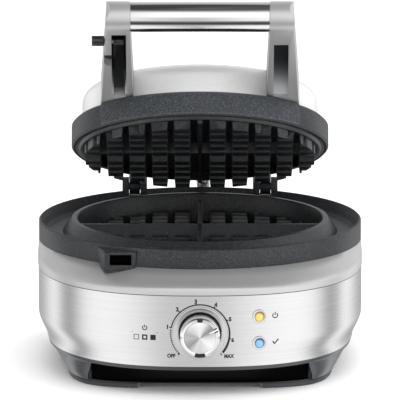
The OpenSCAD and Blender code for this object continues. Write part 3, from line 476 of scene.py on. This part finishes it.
panel_steel = brushed("panel_steel", 0.78, 0.27, (14, 14, 5200), 0.004 * MM)
steps = [PANEL_LOW + TUCK_HEIGHT * i / 10 for i in range(11)] + [PANEL_TOP - 1.2 * MM, PANEL_TOP]
form = loft([(z, HALF_W - tuck(z), BASE_REACH, PANEL_POWER) for z in steps], 220,
            math.radians(180 - WRAP), math.radians(360 + WRAP))
walled(form, PANEL_WALL)
smooth(form, 35)
panel = show("front_panel_sheet", form, panel_steel, "front_panel")
DIAL_Z = 49.0 * MM
BEZEL_R = 21.3 * MM
LAMP_X, LAMP_R = 46.1 * MM, 3.85 * MM
LAMP_Z = {"power": 61.7 * MM, "ready": 40.6 * MM}
LAMP_RING_R = LAMP_R + 1.1 * MM
carve(panel, rod(BEZEL_R + 0.1 * MM, 30 * MM, (0, panel_y(0), DIAL_Z), (0, 1, 0)),
      *(rod(LAMP_RING_R, 30 * MM, (LAMP_X, panel_y(LAMP_X), z), panel_out(LAMP_X)) for z in LAMP_Z.values()))

# ---------------------------------------------------------------------------
# Rear cover. A wall of dark plastic, moulded with a fine grain, that closes the back
# between the panel's ends. It is held between the tray and the shoulder.
# ---------------------------------------------------------------------------
eased("rear_cover", moulded("rear_dark", (0.03, 0.032, 0.036), 0.5, 0.5 * MM, 0.05 * MM), 0.3 * MM)

# ---------------------------------------------------------------------------
# Shoulder. A cast band under satin silver lacquer, with tiny flakes and a faint
# orange-peel surface. An upright lip with a rolled edge stands on the panel over a gap,
# whose shade is painted near black along the lip's foot, then a slope blends from the housing's plan to the round moat
# ring.
# ---------------------------------------------------------------------------
SILVER, FLAKES = 0.6, 5200.0     # the lacquer's tone, and its flakes to a metre
GAP_SHADE_TOP = PANEL_TOP + 0.55 * MM
satin_silver, finish = surface("satin_silver")
flake = finish.noise(finish.place(), FLAKES, 2.0)
peel = finish.noise(finish.place(), 520.0, 2.0)
# painted shade: the lip's lowest half millimetre is painted near black and not metallic, for the shadow in the gap
# above the panel
gap_shade = finish.axis(finish.place(), 2).ramp(GAP_SHADE_TOP, GAP_SHADE_TOP + 0.2 * MM, 1, 0)
lacquer = finish.blend(flake.ramp(0.35, 0.65), grey(SILVER * 0.9), grey(SILVER))
finish.close(Base_Color=finish.blend(gap_shade, lacquer, grey(0.02)), Metallic=0.72 - 0.72 * gap_shade,
             Roughness=0.36 + 0.06 * flake, Normal=finish.bump(peel, 0.006 * MM))
eased("shoulder_trim", satin_silver, 0.3 * MM, 2, 45)


# ---------------------------------------------------------------------------
# Moat ring. A light casting with a dark speckled coat: the overflow moat, the
# latch's socket block at the front left and the hinge brackets at the back.
# ---------------------------------------------------------------------------
def cast_coat(name, colour, rough, worn, shaded_hollow=None):
    """Dark baked coat on a casting: fine speckles, a pebbly surface, a painted highlight on the rounded edges,
    and painted shade, black, within the hole's box, given by its lowest and highest corners."""
    material, finish = surface(name)
    speck = finish.noise(finish.place(), 1000.0, 3.0, 0.8)
    pebble = finish.noise(finish.place(), 2600.0, 2.0)
    base = finish.blend(speck.ramp(0.48, 0.68), (*(c * 0.8 for c in colour), 1),
                        (*(c * 4 + 0.03 for c in colour), 1))
    # painted highlight: the rounded edges that ease marks are painted lighter, for the light that they catch
    edge = finish.node("ShaderNodeAttribute", {"attribute_name": "worn"}, out=2)
    base = finish.blend(worn * edge, base, (*(c * 3.2 + 0.07 for c in colour), 1))
    # painted shade: where a hole's box is given, the coat is painted black and mirror-like within it, for the shade
    # that fills the hole
    metal = 0.0
    if shaded_hollow:
        metal = 1.0
        for i, (low, high) in enumerate(zip(*shaded_hollow)):
            spot = finish.axis(finish.place(), i)
            metal = metal * spot.ramp(low, low + 0.2 * MM) * spot.ramp(high - 0.2 * MM, high, 1, 0)
        base = finish.blend(metal, base, (0.002, 0.002, 0.0022, 1))
    finish.close(Base_Color=base, Metallic=metal, Roughness=rough + 0.1 * pebble, Specular_IOR_Level=0.6,
                 Normal=finish.bump(pebble, 0.04 * MM))
    return material


SOCKET_SHADE = ((-0.0705, -0.1158, 0.0972), (-0.0533, -0.1, 0.1056))      # the hole for the latch's hook, whose shade is painted black
cast_dark = cast_coat("cast_dark", (0.006, 0.0082, 0.011), 0.4, 0.35, SOCKET_SHADE)
eased("moat_ring", cast_dark, 0.5 * MM, 2)
eased("hinge_pins", screw_metal, 0.3 * MM)

# ---------------------------------------------------------------------------
# Lower cooking plate. A non-stick coated casting: a rim, rows of square teeth and
# a cross of dividing ribs. Its heater, shield and thermostat lie below it.
# ---------------------------------------------------------------------------
# the rounded edges of the teeth and rim get a strong painted highlight
plate_coat = cast_coat("plate_coating", (0.006, 0.0075, 0.0095), 0.3, 0.9)
eased("lower_plate", plate_coat, 0.6 * MM, 2)
heater_metal = plain_metal("heater_tube", 0.3, 0.5)
shield_metal = plain_metal("shield_metal", 0.62, 0.3)
eased("lower_heater", heater_metal, 0)
eased("lower_heat_shield", shield_metal, 0.3 * MM, 1)
switch_metal = plain_metal("switch_metal", 0.55, 0.38)
eased("plate_thermostat", switch_metal, 0.4 * MM)

# ---------------------------------------------------------------------------
# Dial. A satin bezel let into the panel round a well painted black as shade, a polished
# metal knob with a spun face, and the steel shaft that it is pressed on and turns with.
# ---------------------------------------------------------------------------
DIAL_R = 15.6 * MM
bezel_paint, finish = surface("bezel_silver")
spot = finish.place((1, 1, 1), (0, 0, DIAL_Z))
off = (finish.axis(spot, 0) ** 2 + finish.axis(spot, 2) ** 2) ** 0.5
# painted shade: the bezel's inner edge round the knob is painted black, for the shade in the gap
well_shade = off.ramp(DIAL_R + 0.9 * MM, DIAL_R + 1.2 * MM, 1, 0)
flake = finish.noise(finish.place(), FLAKES, 2.0)
finish.close(Base_Color=finish.blend(well_shade, finish.blend(flake, grey(0.6), grey(0.72)), grey(0.004)),
             Metallic=0.85 - 0.85 * well_shade, Roughness=0.26 + 0.05 * flake + 0.3 * well_shade,
             Normal=finish.bump(flake, 0.004 * MM))
eased("dial_bezel", bezel_paint, 0.25 * MM, 2)


def polished(name, tone, rough):
    """Polished metal: nearly a mirror, with hair lines too fine to see one by one."""
    material, finish = surface(name)
    haze = finish.noise(finish.place(), 900.0, 3.0, 0.6)
    finish.close(Base_Color=finish.blend(haze, grey(tone * 0.95), grey(tone)), Metallic=1.0,
                 Roughness=rough + 0.05 * haze)
    return material


eased("dial_knob", polished("dial_polished", 0.95, 0.16), 0.35 * MM, 3)

# the face is turned on a lathe: fine rings, with painted highlights and shade in fans round them
FACE_TONE, FACE_RINGS = 0.95, 9000.0
face_metal, finish = surface("dial_face")
spot = finish.place((1, 1, 1), (0, 0, DIAL_Z))
x, z = finish.axis(spot, 0), finish.axis(spot, 2)
rings = finish.noise(finish.node("ShaderNodeCombineXYZ", None, {0: (x * x + z * z) ** 0.5 * FACE_RINGS}), 1.0, 2.0)
# painted reflection: light and dark fans, set by the angle round the dial, in the base colour
fan_sheen = finish.node("ShaderNodeValToRGB", {"stops": [
    (0.0, 0.75), (0.06, 0.85), (0.1, 0.55), (0.14, 0.22), (0.19, 0.32), (0.25, 0.5), (0.3, 0.38), (0.36, 0.7),
    (0.43, 0.88), (0.5, 1.0), (0.56, 0.75), (0.6, 0.3), (0.645, 0.05), (0.68, 0.35), (0.73, 0.6), (0.79, 0.88),
    (0.86, 1.0), (0.93, 0.82), (1.0, 0.75)]}, {0: 0.5 + x.math("ARCTAN2", x, z) / (2 * math.pi)})
finish.close(Base_Color=finish.blend(0.8 * fan_sheen + 0.2 * rings, grey(FACE_TONE * 0.12), grey(FACE_TONE)), Metallic=0.6,
             Roughness=0.25, Normal=finish.bump(rings, 0.012 * MM))
eased("dial_cap", face_metal, 0.25 * MM, 2)
eased("dial_shaft", screw_metal, 0.3 * MM)


def band(form, middle, inner, outer, start, end, steps=24):
    """A flat arc in X and Z. Angles run clockwise from up; outer may be a radius at each end."""
    first, last = outer if isinstance(outer, tuple) else (outer, outer)
    centre = Vector((middle[0], 0, middle[1]))
    aim = Vector((math.sin(math.radians(start)), 0, math.cos(math.radians(start))))
    ends = [form.verts.new(centre + r * aim) for r in (inner, first)]
    bmesh.ops.spin(form, geom=[*ends, form.edges.new(ends)], cent=centre, axis=(0, 1, 0),
                   angle=math.radians(end - start), steps=steps, use_merge=False, use_duplicate=False)
    walk = ends[1]
    seen_verts = {ends[0], ends[1]}
    for i in range(1, steps + 1):
        walk = next(v for e in walk.link_edges for v in e.verts
                    if v not in seen_verts and abs((v.co - centre).length - first) < 1e-7)
        seen_verts.add(walk)
        walk.co = centre + (walk.co - centre).normalized() * (first + (last - first) * i / steps)


DIAL_MIDDLE = (0, DIAL_Z)


def inlay(name, material, inner, outer, start, end, front, deep):
    """An arc of the dial's ring in another finish, in millimetres, its face at front from the panel."""
    form = bmesh.new()
    band(form, DIAL_MIDDLE, inner * MM, outer * MM, start, end)
    lifted = bmesh.ops.extrude_face_region(form, geom=form.faces[:])["geom"]
    bmesh.ops.translate(form, vec=(0, -deep * MM, 0), verts=[v for v in lifted if isinstance(v, bmesh.types.BMVert)])
    bmesh.ops.translate(form, vec=(0, panel_y(0) - (front - deep) * MM, 0), verts=form.verts)
    bmesh.ops.recalc_face_normals(form, faces=form.faces)
    smooth(form)
    show(name, form, material, body="dial", slot=SLOTS["dial_knob"])


grip_black = moulded("grip_black", (0.006, 0.006, 0.007), 0.4, 0.3 * MM, 0.01 * MM)
pointer_white = moulded("pointer_white", (0.8, 0.8, 0.8), 0.35, 0.3 * MM, 0.004 * MM)
inlay("grip_top", grip_black, 12.5, 15.1, -8.7, 8.7, 17.5, 1.2)
inlay("grip_foot", grip_black, 12.5, 15.5, 163.5, 196.5, 17.5, 1.4)
inlay("pointer_bed", grip_black, 12.5, 15.1, 57, 71, 17.5, 1.2)
inlay("pointer_bar", pointer_white, 8.2, 15.2, 61.6, 66.4, 17.56, 1.3)

# ---------------------------------------------------------------------------
# Scale and signs. Black ink printed on the panel: the dial's numbers, ticks and arcs,
# a power sign and a tick beside the lamps, and three shades of baking. The marks are
# drawn flat in X and Z, then laid on to the panel's curve.
# ---------------------------------------------------------------------------
INK_DEPTH = 0.06 * MM
ink = moulded("ink", (0.004, 0.004, 0.0045), 0.55, 0.3 * MM, 0.0)


def printed(name, form):
    """Lays a form drawn in X and Z on to the panel's face, y being its depth."""
    for v in form.verts:
        v.co.y = panel_y(v.co.x) + v.co.y - INK_DEPTH / 2
    show(name, form, ink, body="base", slot="knob_black")


def words(text, height, x, z, name, bold, narrow=1.0):
    """Text as a thin form, its height set and its middle at x and z. Narrow draws its letters closer."""
    data = bpy.data.curves.new(name, "FONT")
    data.body, data.offset, data.resolution_u, data.extrude = text, bold, 4, 0.01
    made = bpy.data.objects.new(name, data)
    bpy.context.scene.collection.objects.link(made)
    mesh = bpy.data.meshes.new_from_object(made.evaluated_get(bpy.context.evaluated_depsgraph_get()))
    bpy.data.objects.remove(made)
    form = bmesh.new()
    form.from_mesh(mesh)
    bpy.data.meshes.remove(mesh)
    low = Vector(min(v.co[i] for v in form.verts) for i in range(3))
    high = Vector(max(v.co[i] for v in form.verts) for i in range(3))
    middle, scale = (low + high) / 2, height / (high.y - low.y)
    for v in form.verts:
        spot = (v.co - middle) * scale
        v.co = (x + narrow * spot.x, -INK_DEPTH / 2 if v.co.z > middle.z else INK_DEPTH / 2, z + spot.y)
    printed(name, form)


def thick(form):
    """Gives a flat form the depth of the ink."""
    bmesh.ops.recalc_face_normals(form, faces=form.faces)
    for face in [f for f in form.faces if f.normal.y > 0]:
        face.normal_flip()
    bmesh.ops.solidify(form, geom=list(form.faces), thickness=INK_DEPTH)
    foremost = min(v.co.y for v in form.verts)
    for v in form.verts:
        v.co.y = -INK_DEPTH / 2 if v.co.y < foremost + INK_DEPTH / 2 else INK_DEPTH / 2


def patch(form, *corners):
    """A flat face in X and Z, from corners in millimetres."""
    form.faces.new([form.verts.new((x * MM, 0, z * MM)) for x, z in corners])


def box_of(form, x0, z0, x1, z1):
    """A flat box from its lower left to its upper right corner, in millimetres."""
    patch(form, (x0, z0), (x1, z0), (x1, z1), (x0, z1))


ARC_R, LINE = 22.3 * MM, 1.1 * MM
NUMBERS = {"1": (-25.3, 54.1, -78.6), "2": (-17.6, 68.2, -43.0), "3": (-3.3, 74.4, -7.4), "4": (12.3, 71.9, 28.4),
           "5": (23.4, 60.2, 64.0), "6": (25.4, 43.7, 100.0)}      # x and z in millimetres, and the tick's angle
form = bmesh.new()
band(form, DIAL_MIDDLE, ARC_R, (ARC_R + 0.95 * MM, ARC_R + LINE), NUMBERS["1"][2], NUMBERS["5"][2], 60)
band(form, DIAL_MIDDLE, ARC_R, (ARC_R + LINE, ARC_R + 1.9 * MM), NUMBERS["5"][2], 131, 30)
for dot in range(13):
    angle = -133 + 4.1 * dot
    band(form, DIAL_MIDDLE, ARC_R, ARC_R + LINE, angle - 1.3, angle + 1.3, 2)
for x, z, angle in NUMBERS.values():
    band(form, DIAL_MIDDLE, ARC_R + 0.4 * MM, ARC_R + 2.2 * MM, angle - 1.1, angle + 1.1, 1)
for angle in (-135, 135):
    band(form, DIAL_MIDDLE, ARC_R + 0.1 * MM, ARC_R + 1.8 * MM, angle - 1.1, angle + 1.1, 1)
thick(form)
printed("scale_arc", form)
for text, (x, z, angle) in NUMBERS.items():
    words(text, 3.5 * MM, x * MM, z * MM, "number_" + text, 0.06)
words("OFF", 3.2 * MM, -22.3 * MM, 31.2 * MM, "word_off", 0.05, 0.9)
words("MAX", 3.2 * MM, 22.7 * MM, 30.9 * MM, "word_max", 0.05, 0.84)


def power_sign(form, x, z, r):
    """An open ring with a bar, in millimetres."""
    band(form, (x * MM, z * MM), (r - 0.75) * MM, r * MM, 38, 322, 24)
    box_of(form, x - 0.38, z + 0.1 * r, x + 0.38, z + 1.15 * r)


SIGN_X, SHADE_LOW, SHADE_TOP, SHADE_HALF = -43, 43.3, 47.5, 2.1      # in millimetres, as all signs are
form = bmesh.new()
power_sign(form, 58.5, 61.7, 2.3)
patch(form, (56.2, 40.9), (58.0, 38.6), (58.0, 39.9), (57.1, 41.6))
patch(form, (58.0, 38.6), (61.4, 42.5), (60.6, 43.1), (58.0, 39.9))
power_sign(form, SIGN_X, 52.9, 2.1)
box_of(form, SIGN_X - 10, 49.0, SIGN_X + 10, 49.5)
for x, wall in ((SIGN_X - 6.5, 0.5), (SIGN_X, 1.1)):
    left, right = x - SHADE_HALF, x + SHADE_HALF
    box_of(form, left, SHADE_LOW, right, SHADE_LOW + wall)
    box_of(form, left, SHADE_TOP - wall, right, SHADE_TOP)
    box_of(form, left, SHADE_LOW + wall, left + wall, SHADE_TOP - wall)
    box_of(form, right - wall, SHADE_LOW + wall, right, SHADE_TOP - wall)
box_of(form, SIGN_X + 6.5 - SHADE_HALF, SHADE_LOW, SIGN_X + 6.5 + SHADE_HALF, SHADE_TOP)
thick(form)
printed("signs", form)

# ---------------------------------------------------------------------------
# Lamps. Domed clear lenses, amber for power and blue for ready, each lit from
# behind in a polished ring that is pressed into the panel.
# ---------------------------------------------------------------------------
for node, key, deep, bright in (("power_lamp", "power", (0.26, 0.12, 0.006, 1), (0.76, 0.54, 0.11, 1)),
                                ("ready_lamp", "ready", (0.01, 0.05, 0.16, 1), (0.16, 0.45, 0.72, 1))):
    lens, finish = surface(SLOTS[node])
    spot = finish.place((1, 1, 1), (LAMP_X, panel_y(LAMP_X), LAMP_Z[key]))
    off = (finish.axis(spot, 0) ** 2 + (finish.axis(spot, 2) + 0.6 * MM) ** 2) ** 0.5
    glow = off.ramp(2.3 * MM, 3.8 * MM, 1, 0)
    ripple = finish.noise(finish.place(), 900.0, 1.0)
    colour = finish.blend(glow, deep, bright)
    finish.close(Base_Color=colour, Roughness=0.12 + 0.06 * ripple, Emission_Color=colour, Emission_Strength=0.12,
                 Coat_Weight=0.6, Coat_Roughness=0.04, Normal=finish.bump(ripple, 0.01 * MM))
    eased(node, lens, 0.2 * MM, 2)
eased("lamp_bezels", polished("lamp_ring", 0.74, 0.24), 0.12 * MM, 2)

# ---------------------------------------------------------------------------
# Wiring. The mains cord's gland in the rear cover, and the braided silver sleeve
# that takes the wires from its socket in the base to its gland in the lid.
# ---------------------------------------------------------------------------
gland_dark = moulded("gland_dark", (0.025, 0.025, 0.028), 0.5, 0.4 * MM, 0.03 * MM)
eased("cord_gland", gland_dark, 0.3 * MM)
eased("sleeve_socket", gland_dark, 0.3 * MM)
eased("sleeve_gland", gland_dark, 0.3 * MM)

SLEEVE_R = 5.35 * MM
HINGE = Vector((0, CENTRE_Y + 121.7 * MM, 113.0 * MM))
hinge_joint = next(j for j in frame["record"]["behaviour"]["joints"] if j["name"] == "lid_hinge")
lid_turn = Matrix.Rotation(math.radians(hinge_joint["range_deg"][0]), 4, "X")     # from shut to the pose at rest
sleeve_start = Vector((3.5, 144.2, 88.6)) * MM
sleeve_end = HINGE + lid_turn @ Vector((0, -18.9, 8.5)) * MM
lid_back = lid_turn @ Vector((0, 1, 0))
RISE, LEAVE = 31 * MM, 12 * MM   # how the sleeve's curve is drawn out, up from the base and back from the lid
route = [sleeve_start, sleeve_start + Vector((0, 0, RISE)), sleeve_end + LEAVE * lid_back, sleeve_end]


def along(t):
    """The sleeve's middle at share t of its route, with two directions across it."""
    def spot(u):
        u = min(1.0, max(0.0, u))
        return sum((p * w for p, w in zip(route, ((1 - u) ** 3, 3 * u * (1 - u) ** 2, 3 * u * u * (1 - u), u ** 3))),
                   Vector((0, 0, 0)))
    ahead = (spot(t + 0.01) - spot(t - 0.01)).normalized()
    across = (Vector((1, 0, 0)) - ahead * ahead.x).normalized()
    return spot(t), across, ahead.cross(across)


def tube_along(form, around, steps, spot):
    """A closed tube, each of whose points spot(t, q) gives, at share t and angle q."""
    made = bmesh.ops.create_grid(form, x_segments=around, y_segments=steps, size=1)["verts"]
    for v in made:
        v.co = spot((v.co.y + 1) / 2, math.pi * (v.co.x + 1))
    bmesh.ops.remove_doubles(form, verts=made, dist=1e-7)


def lining_spot(t, q):
    """A point of the dark lining that shows between the wires."""
    middle, across, up = along(t)
    return middle + (SLEEVE_R - 1.1 * MM) * (math.cos(q) * across + math.sin(q) * up)


def finish_tube(form, sharp):
    """Closes the ends of tubes, with their faces outwards."""
    bmesh.ops.holes_fill(form, edges=[e for e in form.edges if e.is_boundary], sides=0)
    bmesh.ops.recalc_face_normals(form, faces=form.faces)
    smooth(form, sharp)


form = bmesh.new()
tube_along(form, 24, 40, lining_spot)
finish_tube(form, 60)
lining = show("cable_sleeve_lining", form, moulded("lining_dark", (0.02, 0.02, 0.022), 0.6), body=False,
              slot="gland_dark")
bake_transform(lining)

STRANDS, TURNS, WIRE_R = 9, 0.55, 0.38 * MM
form = bmesh.new()
for way in (1, -1):
    for strand in range(STRANDS):
        for side in (-1, 0, 1):
            def wire_spot(t, q):
                middle, across, up = along(t)
                turn = 2 * math.pi * ((strand + 0.26 * side) / STRANDS + way * TURNS * t)
                weave = math.sin(math.pi * STRANDS * (2 * TURNS * t + strand / STRANDS) + math.pi * strand)
                out = math.cos(turn) * across + math.sin(turn) * up
                flank = across.cross(up).cross(out)
                r = SLEEVE_R - WIRE_R - 0.35 * MM + 0.3 * MM * way * weave
                return middle + r * out + WIRE_R * (math.cos(q) * out + math.sin(q) * flank)
            tube_along(form, 5, 36, wire_spot)
finish_tube(form, 95)
braid, finish = surface("sleeve_braid")
tone = finish.noise(finish.place(), 1500.0, 2.0)
finish.close(Base_Color=finish.blend(tone, grey(0.55), grey(0.8)), Metallic=0.75, Roughness=0.3 + 0.1 * tone,
             Normal=finish.bump(tone, 0.01 * MM))
sleeve = show("cable_sleeve_braid", form, braid, "cable_sleeve", body=False)
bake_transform(sleeve)

# ---------------------------------------------------------------------------
# Lid rim and upper plate. The dark cast rim with its two hinge lugs holds the
# toothed upper plate; its heater, fuse and heat shield lie under the cover.
# ---------------------------------------------------------------------------
eased("lid_rim", cast_dark, 0.5 * MM, 2)
eased("upper_plate", plate_coat, 0.6 * MM, 2)
eased("upper_heater", heater_metal, 0)
eased("upper_heat_shield", shield_metal, 0.3 * MM, 1)
eased("thermal_fuse", switch_metal, 0.3 * MM, 1)

# ---------------------------------------------------------------------------
# Lid cover. A dome of stainless steel, drawn in one piece with a rounded shoulder and
# brushed from side to side. Its open edge sits in the lid rim.
# ---------------------------------------------------------------------------
eased("lid_cover", brushed("cover_steel", 0.92, 0.38, (14, 3600, 3600), 0.012 * MM, 0.66), 0)

# ---------------------------------------------------------------------------
# Handle. A dark bracket screwed round the rim's front, two satin cast arms with
# hollow undersides, and a polished tube held between them by a rod.
# ---------------------------------------------------------------------------
PLATE_R, BRACKET_R, RIM_H = 101.5 * MM, 103.5 * MM, 18.5 * MM
lid_place = Matrix.Translation(HINGE) @ lid_turn @ Matrix.Translation(Vector((0, CENTRE_Y, 112.5 * MM)) - HINGE)
BRACKET_TURN = math.radians(48.9)
form = bmesh.new()
section = [(PLATE_R + 0.1 * MM, 0.6 * MM), (BRACKET_R - 1 * MM, 0.2 * MM), (BRACKET_R, 1.2 * MM),
           (BRACKET_R, RIM_H - 0.8 * MM), (BRACKET_R - 0.8 * MM, RIM_H), (PLATE_R + 0.1 * MM, RIM_H)]
turn = Matrix.Rotation(-math.pi / 2 - BRACKET_TURN, 4, "Z")
start = form.faces.new([form.verts.new(turn @ Vector((r, 0, z))) for r, z in section])
rim = list(start.edges)
form.faces.remove(start)
bmesh.ops.spin(form, geom=[*rim, *form.verts], cent=(0, 0, 0), axis=(0, 0, 1), angle=2 * BRACKET_TURN, steps=96,
               use_merge=False, use_duplicate=False)
bmesh.ops.holes_fill(form, edges=[e for e in form.edges if e.is_boundary], sides=0)
bmesh.ops.recalc_face_normals(form, faces=form.faces)
bmesh.ops.transform(form, matrix=lid_place, verts=form.verts)
ease(form, 0.3 * MM, 2, 25)
smooth(form, 40)
show("handle_bracket_band", form, cast_coat("bracket_dark", (0.018, 0.022, 0.027), 0.46, 0.3),
     "handle_bracket", "bracket_screws")

ARM_ANGLE = math.radians(17.7)
POCKET_X, POCKET_W, POCKET_DEEP = 63.1 * MM, 11.4 * MM, 12 * MM
LATCH_SLOT = ((-78, -66), (45, 62), (-8, -0.4))      # in millimetres, from its low to its high side
arm_root = Vector((0, -81.1 * MM, 18.6 * MM))
arm_place = lid_place @ Matrix.Translation(arm_root) @ Matrix.Rotation(math.pi - ARM_ANGLE, 4, "X")
arm_silver, finish = surface("arm_silver")
deep = finish.node("ShaderNodeAttribute", {"attribute_name": "deep"}, out=2)
flake = finish.noise(finish.place(), FLAKES, 2.0)
# painted shade in the recesses, with a painted highlight towards their lower end
lower_glow = finish.axis(finish.place(), 2).ramp(222 * MM, 258 * MM, 1, 0) ** 2
hollow_shade = finish.blend(lower_glow, (0.022, 0.026, 0.03, 1), (0.42, 0.43, 0.44, 1))
finish.close(Base_Color=finish.blend(deep, finish.blend(flake.ramp(0.35, 0.65), grey(0.54), grey(0.6)), hollow_shade),
             Metallic=0.72 - 0.3 * deep, Roughness=0.38 + 0.06 * flake, Normal=finish.bump(flake, 0.004 * MM))


def in_pocket(face, side):
    """Whether a face lies in the hollow of an arm's underside, or on the ceiling or the end of the latch's slot: the
    faces that get painted shade.
    """
    spot = arm_place.inverted() @ face.calc_center_median()
    aim = arm_place.inverted().to_3x3() @ face.normal
    recess_shade = abs(spot.x - side * POCKET_X) < POCKET_W / 2 + 0.05 * MM and 2.9 * MM < spot.y < 93 * MM \
        and -POCKET_DEEP < spot.z < -0.4 * MM
    slot = side < 0 and all(low * MM < c < high * MM for (low, high), c in zip(LATCH_SLOT, spot)) \
        and (aim.z > 0.5 or aim.y < -0.5)
    return recess_shade or slot


for side, node in ((-1, "handle_arm_left"), (1, "handle_arm_right")):
    form = solid_of(node)
    ease(form, 0.8 * MM, 3)
    smooth(form, 40)
    arm = show(node + "_piece", form, arm_silver, node)
    if side < 0:
        # the slot that the latch is pushed through, with its curved lower lip
        outline = [(-80, 62), (-66, 62), (-66, 46.5), (-70, 46.5), (-73, 48), (-75.5, 51), (-77, 55), (-80, 60)]
        form = bmesh.new()
        made = form.faces.new([form.verts.new((x * MM, y * MM, 3 * MM)) for x, y in outline])
        lifted = bmesh.ops.extrude_face_region(form, geom=[made])["geom"]
        bmesh.ops.translate(form, vec=(0, 0, -9.5 * MM), verts=[v for v in lifted if isinstance(v, bmesh.types.BMVert)])
        bmesh.ops.recalc_face_normals(form, faces=form.faces)
        bmesh.ops.transform(form, matrix=arm_place, verts=form.verts)
        carve(arm, form)
    form = bmesh.new()
    form.from_mesh(arm.data)
    form.normal_update()
    # faces in the recesses and on the latch slot's ceiling and end are marked for painted shade
    shaded_hollow = form.faces.layers.float.new("deep")
    for face in form.faces:
        face[shaded_hollow] = 1.0 if in_pocket(face, side) else 0.0
    form.to_mesh(arm.data)
    form.free()
eased("handle_tube", polished("tube_polished", 0.86, 0.09), 0.3 * MM, 2)
eased("handle_rod", screw_metal, 0.3 * MM)

# ---------------------------------------------------------------------------
# Latch. A hook of dark pressed steel that swings on a pin through the left arm's
# recess, and catches in the moat ring's socket. Its black plastic knob is pushed on.
# ---------------------------------------------------------------------------
eased("latch_hook", plain_metal("hook_dark", 0.1, 0.3), 0.5 * MM)
eased("latch_pin", screw_metal, 0.3 * MM)
eased("latch_knob", moulded("knob_black", (0.012, 0.012, 0.013), 0.3, 0.4 * MM, 0.01 * MM, 0.4), 0.6 * MM, 3)
